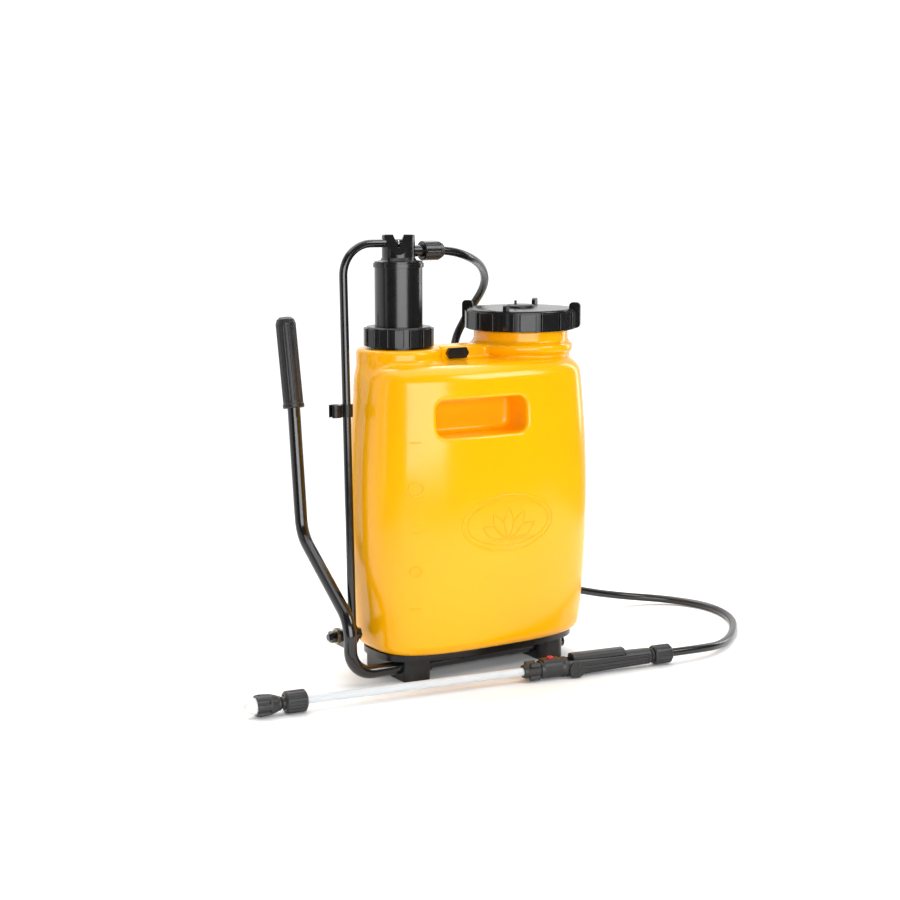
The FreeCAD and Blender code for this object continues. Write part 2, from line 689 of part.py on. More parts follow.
# ---- lever -------------------------------------------------------------------------------------------------------
GRIP_LOW = at(LEVER_X, 112.0, 322.0)
GRIP_HIGH = at(LEVER_X, 133.0, 433.0)
GRIP_ALONG = (GRIP_HIGH - GRIP_LOW).normalize()
GRIP_LENGTH = (GRIP_HIGH - GRIP_LOW).Length
LEVER_POINTS = [
    at(AXLE_END_X, AXLE_Y, AXLE_Z),
    at(LEVER_X, AXLE_Y, AXLE_Z),
    at(LEVER_X, AXLE_Y, 80.0),
    at(LEVER_X, 94.0, 166.0),
    GRIP_LOW,
    GRIP_HIGH - GRIP_ALONG * 8.0,
]
LEVER_BENDS = [30.0, 42.0, 42.0, 300.0]


lever_outside = round_bar(LEVER_POINTS, LEVER_BENDS, LEVER_R)[0]
lever_inside = round_bar(LEVER_POINTS, LEVER_BENDS, LEVER_BORE_R)[0]


def make_grip():
    """Fluted rubber grip, drawn upright and then laid along the lever's end."""
    grip = turned([
        (0, 0), (GRIP_R - 1, 0), (GRIP_R, 1), (GRIP_R, 5), (GRIP_R - 0.8, 6),
        (GRIP_R - 0.8, GRIP_LENGTH - 8), (GRIP_R - 2.5, GRIP_LENGTH - 3),
        (GRIP_R - 6, GRIP_LENGTH), (0, GRIP_LENGTH),
    ])
    flute_at = GRIP_R + 0.6
    for flute in spun(upright(1.9, flute_at, 0, 9, GRIP_LENGTH - 10), GRIP_FLUTES):
        grip = grip.cut(flute)
    grip = grip.cut(upright(LEVER_R, 0, 0, -1, GRIP_LENGTH - 8))
    tilt = math.degrees(Z_AXIS.getAngle(GRIP_ALONG))
    grip.rotate(V(0, 0, 0), X_AXIS, -tilt)
    grip.translate(GRIP_LOW)
    return grip


PLATE_LEFT = LEVER_X - 2.0
PLATE_RIGHT = LEVER_X + 2.0
PLATE_R = 10.0
SLEEVE_R = 7.0
EYE_LEFT = ROD_X - EYE_THICK / 2
EYE_RIGHT = ROD_X + EYE_THICK / 2


def make_pivot_plate():
    """Lug welded to the lever's upright, which carries the pivot bolt behind it."""
    web = box(PLATE_LEFT, PLATE_RIGHT, AXLE_Y + 2, PIVOT_Y, PIVOT_Z - PLATE_R, PIVOT_Z + PLATE_R)
    lug = cylinder(PLATE_R, at(PLATE_LEFT, PIVOT_Y, PIVOT_Z), at(PLATE_RIGHT, PIVOT_Y, PIVOT_Z))
    plate = joined(web, [lug])
    plate = plate.cut(lever_outside)
    return plate.cut(cylinder(BOLT_R + FIT, at(PLATE_LEFT - 1, PIVOT_Y, PIVOT_Z), at(PLATE_RIGHT + 1, PIVOT_Y, PIVOT_Z)))


def hexagon(across, start, end, hole):
    """A hexagonal prism along X, with a hole if its radius is over 0."""
    points = []
    for i in range(7):
        a = math.radians(60 * i)
        corner = across / math.sqrt(3)
        points.append(start + V(0, corner * math.cos(a), corner * math.sin(a)))
    prism = Part.Face(Part.makePolygon(points)).extrude(end - start)
    return prism.cut(cylinder(hole, start, end)) if hole > 0 else prism


def on_pivot(x):
    return at(x, PIVOT_Y, PIVOT_Z)


HEAD_START = EYE_RIGHT + GAP + 1.6


def make_bolt():
    head = hexagon(13.0, on_pivot(HEAD_START), on_pivot(HEAD_START + 5.3), 0)
    shank = cylinder(BOLT_R, on_pivot(PLATE_LEFT - 11.5), on_pivot(HEAD_START + 1))
    return head.fuse(shank).removeSplitter()


save("lever_tube", lever_outside.cut(lever_inside))
save("lever_grip", make_grip())
save("pivot_plate", make_pivot_plate())
save("pivot_bolt", make_bolt())
save("pivot_sleeve", ring(SLEEVE_R, BOLT_R + RUN, on_pivot(PLATE_RIGHT), on_pivot(EYE_LEFT - GAP)))
save(
    "pivot_washers",
    ring(9.0, BOLT_R + FIT, on_pivot(PLATE_LEFT - 1.6), on_pivot(PLATE_LEFT)),
    ring(9.0, BOLT_R + FIT, on_pivot(EYE_RIGHT + GAP), on_pivot(HEAD_START)),
)
save("pivot_nut", hexagon(13.0, on_pivot(PLATE_LEFT - 8.4), on_pivot(PLATE_LEFT - 1.6), BOLT_R + FIT))


def make_axle_clip():
    """Retaining clip that stops the axle sliding out of the left foot."""
    start = FOOT_LEFT_X + FOOT_WIDE / 2 + 0.6
    body = ring(LEVER_R + 2.6, LEVER_R + RUN, at(start, AXLE_Y, AXLE_Z), at(start + 4, AXLE_Y, AXLE_Z))
    tail = box(start, start + 4, AXLE_Y - 3, AXLE_Y + 3, AXLE_Z - LEVER_R - 5, AXLE_Z - LEVER_R - 1)
    return joined(body, [tail])


def make_axle_cap():
    plug = cylinder(LEVER_BORE_R - RUN, at(AXLE_END_X - 12, AXLE_Y, AXLE_Z), at(AXLE_END_X + 1, AXLE_Y, AXLE_Z))
    disc = cylinder(LEVER_R, at(AXLE_END_X, AXLE_Y, AXLE_Z), at(AXLE_END_X + 2, AXLE_Y, AXLE_Z))
    return plug.fuse(disc).removeSplitter()


save("axle_clip", make_axle_clip())
save("axle_end_cap", make_axle_cap())


# ---- filler cap, vent and strainer ---------------------------------------------------------------------------------
MOUTH_R = FILLER_GROOVE_R - FILLER_MOUTH_WALL
STRAINER_R = MOUTH_R - 1.0
STRAINER_RIM_TOP = FILLER_MOUTH_TOP + 1.6
CAP_CEILING = CAP_TOP - CAP_WALL
VENT_R = 17.0


def make_cap():
    cap = upright(CAP_R - CAP_RIB_HEIGHT, FILLER_X, NECKS_Y, CAP_BOTTOM, CAP_TOP)
    cap = cap.makeFillet(CAP_ROUND, [cap.Edges[0]])
    half = math.pi * CAP_R / CAP_RIBS * 0.74
    pad = soft_box(CAP_R - 6, CAP_R, -half, half, CAP_BOTTOM + 1, CAP_TOP - 4, 1.0, Z_AXIS)
    pad.translate(at(FILLER_X, NECKS_Y, 0))
    lug = box(CAP_R - 7, LUG_R, -LUG_THICK / 2, LUG_THICK / 2, CAP_BOTTOM + 2, LUG_TOP)
    lug = lug.makeFillet(5.0, edges_along(lug, Y_AXIS))
    lug.translate(at(FILLER_X, NECKS_Y, 0))
    pads = spun(pad, CAP_RIBS, FILLER_X, NECKS_Y, -49.0)
    cap = joined(cap, pads + spun(lug, 4, FILLER_X, NECKS_Y, -49.0))
    cap = cap.cut(upright(FILLER_GROOVE_R + GAP, FILLER_X, NECKS_Y, CAP_BOTTOM - 1, CAP_CEILING))
    return cap.cut(upright(4.0 + FIT, FILLER_X, NECKS_Y, CAP_CEILING - 1, CAP_TOP + 1))


def make_vent():
    """Mushroom breather pushed through the middle of the cap."""
    disc = turned([(0, CAP_TOP), (VENT_R, CAP_TOP), (VENT_R, CAP_TOP + 2.5), (VENT_R - 2, CAP_TOP + 4),
                   (0, CAP_TOP + 4)], FILLER_X, NECKS_Y)
    stem = upright(4.0, FILLER_X, NECKS_Y, CAP_CEILING - 0.5, CAP_TOP + 1)
    nub = upright(1.6, FILLER_X - 6, NECKS_Y + 3, CAP_TOP + 3, CAP_TOP + 9)
    return joined(disc, [stem, nub])


def make_strainer():
    low = STRAINER_RIM_TOP - STRAINER_DEPTH
    taper = 12.0
    basket = turned([
        (0, low), (STRAINER_R - taper, low), (STRAINER_R, FILLER_MOUTH_TOP), (FILLER_GROOVE_R - 0.5, FILLER_MOUTH_TOP),
        (FILLER_GROOVE_R - 0.5, STRAINER_RIM_TOP), (STRAINER_R - STRAINER_WALL, STRAINER_RIM_TOP),
        (STRAINER_R - taper - STRAINER_WALL, low + STRAINER_WALL), (0, low + STRAINER_WALL),
    ], FILLER_X, NECKS_Y)
    window = box(10, STRAINER_R + 5, -9, 9, low + STRAINER_WALL + 0.4, FILLER_MOUTH_TOP - 24)
    window.translate(at(FILLER_X, NECKS_Y, 0))
    for one in spun(window, 8, FILLER_X, NECKS_Y):
        basket = basket.cut(one)
    return basket


save("filler_cap", make_cap())
save("cap_gasket", tube(FILLER_GROOVE_R - 0.3, MOUTH_R - 6, FILLER_X, NECKS_Y, CAP_CEILING - 1.5, CAP_CEILING).cut(
    upright(4.5, FILLER_X, NECKS_Y, CAP_CEILING - 5, CAP_CEILING + 5)))
save("vent_valve", make_vent())
save("filler_strainer", make_strainer())


# ---- strap anchor, bracket and straps ----------------------------------------------------------------------------------
ANCHOR_X = -18.5
ANCHOR_Z = 391.5
BRIDGE_FRONT = BRIDGE_Y - BRIDGE_THICK / 2
BRIDGE_REAR = BRIDGE_Y + BRIDGE_THICK / 2


def make_anchor_plug():
    """Long-hexagon cover over the front of the strap anchor."""
    half_x, half_z = 15.5, 6.5
    points = []
    for x, z in ((-1, 0), (-0.76, 1), (0.76, 1), (1, 0), (0.76, -1), (-0.76, -1), (-1, 0)):
        points.append(at(ANCHOR_X + x * half_x, BRIDGE_FRONT - 5, ANCHOR_Z + z * half_z))
    plug = Part.Face(Part.makePolygon(points)).extrude(V(0, 5, 0))
    for i in range(-2, 3):
        groove_x = ANCHOR_X + i * 4.6
        groove = box(groove_x - 0.8, groove_x + 0.8, BRIDGE_FRONT - 6, BRIDGE_FRONT - 4, ANCHOR_Z - 4.4, ANCHOR_Z + 4.4)
        plug = plug.cut(groove)
    return plug


HOOK_Y = 84.0
HOOK_Z = 30.0
BUCKLE_Z = 98.0
STRAP_PATH = [
    at(0, BRIDGE_REAR + 3, STRAP_Z),
    at(0, 84, STRAP_Z),
    at(0, 108, 352),
    at(0, 120, 270),
    at(0, 108, 185),
    at(0, 92, 120),
    at(0, HOOK_Y, 64),
    at(0, HOOK_Y, 20),
]
PAD_FROM, PAD_TO = 2, 5


def leaned(shape, side):
    """Moves a piece drawn at X = 0 to one strap's place and slant."""
    shape.translate(at(STRAP_TOPS[side], 0, 0))
    shape.rotate(at(STRAP_TOPS[side], 0, STRAP_Z), Y_AXIS, STRAP_LEANS[side])
    return shape


def make_webbing(side, slack=0.0):
    wide = STRAP_WIDE + 2 * slack
    thick = STRAP_THICK + 2 * slack
    return leaned(flat_band(STRAP_PATH, free_radii(STRAP_PATH), wide, thick), side)


def make_pad(side):
    """Shoulder pad sewn to the outer face of the webbing."""
    points = []
    offset = PAD_THICK / 2 + STRAP_THICK / 2 + 0.2
    for i in range(PAD_FROM, PAD_TO):
        along = (STRAP_PATH[i + 1] - STRAP_PATH[i - 1]).normalize()
        points.append(STRAP_PATH[i] + along.cross(X_AXIS) * -offset)
    return leaned(flat_band(points, free_radii(points), PAD_WIDE, PAD_THICK), side)


def make_bracket():
    """Bar at the back of the bridge, with a slot for each strap."""
    low, high = STRAP_Z - 5, STRAP_Z + 5
    bracket = soft_box(STRAP_TOPS[0] - 17, STRAP_TOPS[1] + 17, BRIDGE_REAR, BRIDGE_REAR + 12, low, high, 2.0, X_AXIS)
    for passage in strap_passages:
        bracket = bracket.cut(passage)
    return bracket.cut(tank_outside)


def make_hook(side):
    """Plate at the tray's back edge with the slot that holds the strap's lower end."""
    half = STRAP_WIDE / 2 + 6
    plate = soft_box(-half, half, TRAY_HALF_Y - 12, HOOK_Y + 6, HOOK_Z - 3, HOOK_Z + 3, 4.0, Z_AXIS)
    fall = STRAP_Z - HOOK_Z
    plate.translate(at(STRAP_TOPS[side] - fall * math.tan(math.radians(STRAP_LEANS[side])), 0, 0))
    return plate.cut(strap_passages[side]).cut(tray_outside).cut(tray)


def make_buckle(side):
    """Ladder buckle that the webbing runs through."""
    half = STRAP_WIDE / 2 + 4
    buckle = soft_box(-half, half, 84.6, 93.4, BUCKLE_Z - 10, BUCKLE_Z + 10, 2.5, Y_AXIS)
    buckle = leaned(buckle, side)
    return buckle.cut(strap_passages[side])


strap_passages = [make_webbing(side, STRAP_SLACK) for side in (0, 1)]
save("strap_anchor_plug", make_anchor_plug())
save("strap_bracket", make_bracket())
save("strap_hooks", *[make_hook(side) for side in (0, 1)])
save("strap_buckles", *[make_buckle(side) for side in (0, 1)])
for side, name in enumerate(("left", "right")):
    save(name + "_strap_webbing", make_webbing(side))
    save(name + "_strap_pad", make_pad(side))


# ---- hose clip on the tank's back --------------------------------------------------------------------------------------
def make_hose_clip():
    x, y, z = HOSE_CLIP.x, HOSE_CLIP.y, HOSE_CLIP.z
    block = soft_box(x - 9, x + 9, TANK_HALF_Y - 16, y, z - 9, z + 9, 2.0, Y_AXIS)
    clip = joined(block, [upright(HOSE_R + 3.2, x, y, z - 9, z + 9)])
    clip = clip.cut(upright(HOSE_R + FIT, x, y, z - 10, z + 10))
    clip = clip.cut(box(x - 2.5, x + 2.5, y, y + 20, z - 10, z + 10))
    return clip.cut(tank_outside)


save("hose_clip", make_hose_clip())


# ---- hose ------------------------------------------------------------------------------------------------------------------
def make_hose(name, points):
    radii = free_radii(points)
    body, length = round_bar(points, radii, HOSE_R)
    section = math.pi * HOSE_R ** 2
    print(name, "radii", [round(r) for r in radii], "length", round(length, 1),
          "volume over section x length", round(body.Volume / (section * length), 4))
    return body


save("hose_upper", make_hose("hose_upper", HOSE_UPPER))
save("hose_lower", make_hose("hose_lower", HOSE_LOWER))


# ---- wand: nozzle, lance, valve and handle ----------------------------------------------------------------------------------
NOZZLE_CAP_START = 13.0
NOZZLE_CAP_END = 38.0
NOZZLE_NUT_START = 47.0
NOZZLE_NUT_END = 73.0


def make_nozzle_tip():
    """White jet insert with a domed nose and a fine bore."""
    tip = along_x([(0, 0), (0, 3), (2, 6), (6, 8.3), (11, 9.3), (20, 9.3), (20, 6), (26, 6), (26, 0)])
    tip = tip.cut(cylinder(0.8, V(-1, 0, 0), V(10, 0, 0)))
    return tip.cut(cylinder(3.0, V(8, 0, 0), V(27, 0, 0)))


def make_nozzle_cap():
    """Finger-grip collar that turns to set the spray, with scalloped front edge."""
    cap = along_x([(NOZZLE_CAP_START, 0), (NOZZLE_CAP_START, WAND_R - 0.8), (18, WAND_R - 0.2), (31, WAND_R - 1.2),
                   (NOZZLE_CAP_END, 9.5), (NOZZLE_CAP_END, 0)])
    for i in range(6):
        a = math.radians(60 * i + 30)
        foot = V(NOZZLE_CAP_START - 1, (WAND_R + 1.5) * math.cos(a), (WAND_R + 1.5) * math.sin(a))
        cap = cap.cut(Part.makeCylinder(4.2, 16, foot, X_AXIS))
    cap = cap.cut(cylinder(9.3 + RUN, V(NOZZLE_CAP_START - 1, 0, 0), V(20, 0, 0)))
    return cap.cut(cylinder(6.4, V(19, 0, 0), V(NOZZLE_CAP_END + 1, 0, 0)))


def make_nozzle_body():
    """Waisted neck that joins the jet to the lance."""
    body = along_x([(26, 0), (26, 6.0), (NOZZLE_CAP_END + GAP, 6.0), (NOZZLE_CAP_END + GAP, 8.6), (41, 8.6), (44, 6.6),
                    (48, 8.2), (52, 8.2), (68, 8.2), (68, 0)])
    body = body.cut(cylinder(2.5, V(25, 0, 0), V(LANCE_START + 1, 0, 0)))
    return body.cut(cylinder(LANCE_R + FIT, V(LANCE_START, 0, 0), V(70, 0, 0)))


def make_nozzle_nut():
    nut = along_x([(NOZZLE_NUT_START, 0), (NOZZLE_NUT_START, WAND_R - 2), (NOZZLE_NUT_START + 2, WAND_R),
                   (NOZZLE_NUT_END - 2, WAND_R), (NOZZLE_NUT_END, WAND_R - 2.5), (NOZZLE_NUT_END, 0)])
    for cutter in knurled(WAND_R, 0.9, 16, NOZZLE_NUT_START + 3, NOZZLE_NUT_END - 3, 11.25):
        nut = nut.cut(cutter)
    nut = nut.cut(cylinder(8.2 + GAP, V(NOZZLE_NUT_START - 1, 0, 0), V(68 + GAP, 0, 0)))
    return nut.cut(cylinder(LANCE_R + GAP, V(NOZZLE_NUT_START, 0, 0), V(NOZZLE_NUT_END + 1, 0, 0)))


def make_lance_nut():
    """Nut with four wings that clamps the lance to the valve."""
    start, end = 350.0, VALVE_START - GAP
    nut = along_x([(start, 0), (start, 7.5), (start + 4, 9.2), (end, 9.2), (end, 0)])
    wing = soft_box(start + 7, end - 2, -2.6, 2.6, 8, WAND_R - 0.1, 1.2, X_AXIS)
    wings = []
    for i in range(4):
        one = wing.copy()
        one.rotate(V(0, 0, 0), X_AXIS, 45 + 90 * i)
        wings.append(one)
    nut = joined(nut, wings)
    nut = nut.cut(cylinder(7.0 + GAP, V(360, 0, 0), V(end + 1, 0, 0)))
    return nut.cut(cylinder(LANCE_R + GAP, V(start - 1, 0, 0), V(end, 0, 0)))


SPIGOT_R = 8.8
SPIGOT_END = HANDLE_START + 3.0


def make_valve_body():
    """Shut-off valve housing, with a boss on its back for the handle and the pivot."""
    body = along_x([(VALVE_START - 10, 0), (VALVE_START - 10, 7.0), (VALVE_START, 7.0), (VALVE_START, 10.5),
                    (VALVE_START + 4, 11.5), (400, 11.5), (404, 12.4), (HANDLE_START, 12.4),
                    (HANDLE_START, SPIGOT_R), (SPIGOT_END, SPIGOT_R), (SPIGOT_END, 0)])
    hump = soft_box(VALVE_START + 3, 399, -7.5, 7.5, 6, 12.6, 2.0, X_AXIS)
    body = joined(body, [hump])
    body = body.cut(cylinder(LANCE_R + FIT, V(VALVE_START - 11, 0, 0), V(LANCE_END, 0, 0)))
    body = body.cut(cylinder(3.0, V(LANCE_END - 1, 0, 0), V(SPIGOT_END + 1, 0, 0)))
    return body.cut(cylinder(4.0 + RUN, V(LOCK_AT, 0, 5), V(LOCK_AT, 0, 14)))


def make_lock_button():
    button = cylinder(4.0, V(LOCK_AT, 0, 8.6), V(LOCK_AT, 0, 15.0))
    button = button.makeFillet(1.0, [button.Edges[0]])
    return button.cut(cylinder(1.6, V(LOCK_AT, 0, 14.4), V(LOCK_AT, 0, 16)))


def handle_radius(u):
    """The handle tapers from the valve to the hose nut."""
    share = (u - HANDLE_START) / (HANDLE_END - HANDLE_START)
    return WAND_R - 0.4 - 2.6 * share


TRIGGER_BED = 6.6
PIN_R = 3.0
PIN_Z = -2.0
KNOB_R = 10.3
EAR_R = 5.8
EAR_IN = 5.0            # each ear of the trigger lies this far from the middle
EAR_OUT = 7.5


def make_handle():
    """Ribbed handle with a bed on top for the trigger."""
    start, end = HANDLE_START + GAP, HANDLE_END
    handle = along_x([(start, 0), (start, handle_radius(start)), (end - 3, handle_radius(end)),
                      (end, handle_radius(end) - 2), (end, 0)])
    for i in range(11):
        a = math.radians(-202.5 + 22.5 * i)
        foot = V(start + 14, (WAND_R - 0.2) * math.cos(a), (WAND_R - 0.2) * math.sin(a))
        top = V(end - 6, (WAND_R - 2.6) * math.cos(a), (WAND_R - 2.6) * math.sin(a))
        handle = handle.cut(cylinder(1.5, foot, top))
    handle = handle.cut(box(start - 1, TRIGGER_TIP + 2, -9.0, 9.0, TRIGGER_BED, 20))
    handle = handle.cut(cylinder(SPIGOT_R + FIT, V(start - 1, 0, 0), V(SPIGOT_END + FIT, 0, 0)))
    handle = handle.cut(cylinder(3.0, V(start, 0, 0), V(end + 1, 0, 0)))
    room = EAR_R + 0.5
    for side in (-1, 1):
        y0, y1 = sorted((side * (EAR_IN - 0.4), side * (EAR_OUT + 0.4)))
        handle = handle.cut(box(KNOB_AT - room, KNOB_AT + room, y0, y1, PIN_Z - room, TRIGGER_BED + 1))
        handle = handle.cut(cylinder(PIN_R + FIT, V(KNOB_AT, side * 4.7, PIN_Z), V(KNOB_AT, side * 20, PIN_Z)))
    return handle


HOSE_TAIL = 8.0         # how far the hose runs into the wand's nut


def make_hose_tail():
    """Threaded tail of the handle, on which the hose nut turns."""
    tail_end = WAND_END - HOSE_TAIL
    tail = along_x([(HANDLE_END, 0), (HANDLE_END, 8.6), (HANDLE_END + 3, 8.6), (HANDLE_END + 3, 7.0), (tail_end, 7.0),
                    (tail_end, 0)])
    return tail.cut(cylinder(3.0, V(HANDLE_END - 1, 0, 0), V(tail_end + 1, 0, 0)))


def make_trigger():
    """Long trigger that lies in the handle's bed, hung on the pins by two ears."""
    trigger = box(KNOB_AT - 2, TRIGGER_TIP, -8.2, 8.2, TRIGGER_BED + 1, WAND_R + 2.2)
    trigger = trigger.makeFillet(5.5, top_edges(trigger))
    ears = []
    for side in (-1, 1):
        y0, y1 = sorted((side * EAR_IN, side * EAR_OUT))
        ears.append(cylinder(EAR_R, V(KNOB_AT, y0, PIN_Z), V(KNOB_AT, y1, PIN_Z)))
        ears.append(box(KNOB_AT - 2, KNOB_AT + 5, y0, y1, PIN_Z, TRIGGER_BED + 2))
    trigger = joined(trigger, ears)
    return trigger.cut(cylinder(PIN_R + RUN, V(KNOB_AT, -10, PIN_Z), V(KNOB_AT, 10, PIN_Z)))


def top_edges(shape):
    """The long upper edges of a bar that lies along X."""
    high = shape.BoundBox.ZMax
    found = []
    for edge in edges_along(shape, X_AXIS):
        if abs(edge.Vertexes[0].Z - high) < 1e-6:
            found.append(edge)
    return found


def make_pivot_pins():
    """Two pins of the trigger; the front one ends in a round spoked cap."""
    knob = cylinder(KNOB_R, V(KNOB_AT, -14.6, PIN_Z), V(KNOB_AT, -12.9, PIN_Z))
    knob = joined(knob, [cylinder(PIN_R, V(KNOB_AT, -13, PIN_Z), V(KNOB_AT, -4.8, PIN_Z))])
    for i in range(4):
        spoke = box(1 - KNOB_R, KNOB_R - 1, -0.5, 0.5, -0.8, 0.8)
        spoke.rotate(V(0, 0, 0), Y_AXIS, 45 * i)
        spoke.translate(V(KNOB_AT, -14.6, PIN_Z))
        knob = knob.cut(spoke)
    back = cylinder(PIN_R, V(KNOB_AT, 4.8, PIN_Z), V(KNOB_AT, 12.6, PIN_Z))
    return [knob, back]


def make_hose_nut():
    start, end = HANDLE_END + 3 + GAP, WAND_END
    nut = along_x([(start, 0), (start, 11), (start + 1.5, 12), (end - 3, 12), (end, 9), (end, 0)])
    for cutter in knurled(12.0, 0.9, 14, start + 3, end - 4):
        nut = nut.cut(cutter)
    nut = nut.cut(cylinder(7.0 + GAP, V(start - 1, 0, 0), V(WAND_END - HOSE_TAIL + GAP, 0, 0)))
    return nut.cut(cylinder(HOSE_R + GAP, V(start, 0, 0), V(end + 1, 0, 0)))


lance = ring(LANCE_R, LANCE_R - 1.5, V(LANCE_START, 0, 0), V(LANCE_END, 0, 0))
save("nozzle_tip", wand_placed(make_nozzle_tip()))
save("nozzle_cap", wand_placed(make_nozzle_cap()))
save("nozzle_body", wand_placed(make_nozzle_body()))
save("nozzle_nut", wand_placed(make_nozzle_nut()))
save("lance_tube", wand_placed(lance))
save("lance_nut", wand_placed(make_lance_nut()))
save("valve_body", wand_placed(make_valve_body()))
save("lock_button", wand_placed(make_lock_button()))
save("handle", wand_placed(make_handle()))
save("trigger", wand_placed(make_trigger()))
save("pivot_knob", *[wand_placed(pin) for pin in make_pivot_pins()])
save("hose_tail", wand_placed(make_hose_tail()))
save("hose_nut", wand_placed(make_hose_nut()))
print("made", len(os.listdir("parts")), "nodes")
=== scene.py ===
import json
import math

import bmesh
import bpy
import numpy as np
from mathutils import Matrix, Vector


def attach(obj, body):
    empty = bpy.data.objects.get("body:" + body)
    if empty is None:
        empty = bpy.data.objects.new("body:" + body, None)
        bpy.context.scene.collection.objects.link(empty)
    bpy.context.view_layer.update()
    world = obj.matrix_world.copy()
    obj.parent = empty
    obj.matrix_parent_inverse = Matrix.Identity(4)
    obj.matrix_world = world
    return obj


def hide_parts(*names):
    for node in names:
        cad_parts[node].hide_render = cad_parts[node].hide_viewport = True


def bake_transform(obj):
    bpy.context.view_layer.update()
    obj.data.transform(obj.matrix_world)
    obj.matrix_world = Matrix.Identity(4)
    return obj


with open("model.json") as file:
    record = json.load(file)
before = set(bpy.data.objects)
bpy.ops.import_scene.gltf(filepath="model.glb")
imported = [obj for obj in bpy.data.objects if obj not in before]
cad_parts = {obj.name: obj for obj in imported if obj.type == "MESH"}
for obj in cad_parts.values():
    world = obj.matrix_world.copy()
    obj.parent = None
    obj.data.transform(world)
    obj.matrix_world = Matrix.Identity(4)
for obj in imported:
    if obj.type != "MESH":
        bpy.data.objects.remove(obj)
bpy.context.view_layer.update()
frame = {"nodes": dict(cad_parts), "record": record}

bl_info = {
    "name": "Backpack Sprayer Dressing",
    "version": (1, 0, 0),
    "blender": (4, 5, 0),
    "location": "View3D > Sidebar > Sprayer",
    "description": "Gives the packed backpack sprayer its moulded tank, hoses, straps and finishes",
    "category": "Object",
}

# Places and sizes are in metres in the part's own frame: +Z up, +X towards the filler, +Y towards the wearer.
MM = 0.001


# ---- colour and node helpers ---------------------------------------------------------------
def linear(code):
    """An sRGB hex code as linear red, green and blue."""
    channels = []
    for i in (1, 3, 5):
        value = int(code[i:i + 2], 16) / 255
        channels.append(value / 12.92 if value <= 0.04045 else ((value + 0.055) / 1.055) ** 2.4)
    return channels


def add(tree, kind, settings=None, links=None):
    """Adds one shader node with its settings, and links its inputs to other nodes' outputs."""
    made = tree.nodes.new("ShaderNode" + kind)
    for name, value in (settings or {}).items():
        if name in made.inputs:
            made.inputs[name].default_value = value
        else:
            setattr(made, name, value)
    for name, source in (links or {}).items():
        tree.links.new(source, made.inputs[name])
    return made


# ---- sizes and colours a user may change ------------------------------------------------------
def colour_property(name, description, code):
    return bpy.props.FloatVectorProperty(
        name=name, description=description, subtype="COLOR", size=3, min=0.0, max=1.0, default=linear(code),
    )


def length_property(name, description, millimetres):
    return bpy.props.FloatProperty(
        name=name, description=description, default=millimetres * MM, min=0.0001, unit="LENGTH", precision=4,
    )


class SprayerSizes(bpy.types.PropertyGroup):
    tank_mesh: length_property("Tank mesh", "Edge length of the tank's surface mesh", 2.5)
    mark_width: length_property("Mark width", "Width of the raised lines moulded on the tank", 2.4)
    mark_height: length_property("Mark height", "How far the raised lines stand out of the tank", 1.3)
    hose_diameter: length_property("Hose diameter", "Outside diameter of the pressure hose", 10.5)
    webbing_width: length_property("Webbing width", "Width of the shoulder webbing", 25.0)
    webbing_thickness: length_property("Webbing thickness", "Thickness of the shoulder webbing", 2.2)
    pad_width: length_property("Pad width", "Width of the shoulder pads", 42.0)
    pad_thickness: length_property("Pad thickness", "Thickness of the shoulder pads at their crown", 9.5)
    stitch_length: length_property("Stitch length", "Length of one stitch on the pads", 3.6)


class SprayerColours(bpy.types.PropertyGroup):
    tank: colour_property("Tank", "Polyethylene of the tank", "#FBB400")
    tank_shade: colour_property("Tank shade", "Deeper tone where the tank's wall is thick", "#F9AA00")
    black_plastic: colour_property("Black plastic", "Caps, nuts and clips", "#0C0C0D")
    wand_plastic: colour_property("Wand plastic", "Handle and valve", "#1B1C1D")
    paint: colour_property("Paint", "Powder coat on the lever and rod", "#08080A")
    hose: colour_property("Hose", "Extruded hose", "#070708")
    rubber: colour_property("Rubber", "Grip and seals", "#161617")
    webbing: colour_property("Webbing", "Woven webbing", "#101012")
    pad: colour_property("Pad", "Woven cover of the pads", "#141517")
    nozzle: colour_property("Nozzle", "Jet insert", "#D2D2CE")
    lance: colour_property("Lance", "Translucent lance tube", "#C4C8CB")
    button: colour_property("Button", "Lock button", "#B5202E")
    zinc: colour_property("Zinc", "Yellow passivated zinc", "#B8AC8C")


# ---- finishes -------------------------------------------------------------------------------------
def blank(name):
    """An empty material with its output node."""
    material = bpy.data.materials.new(name)
    material.use_nodes = True
    material.node_tree.nodes.clear()
    return material, material.node_tree


def finish_with(tree, shader):
    add(tree, "OutputMaterial", links={"Surface": shader.outputs["BSDF"]})


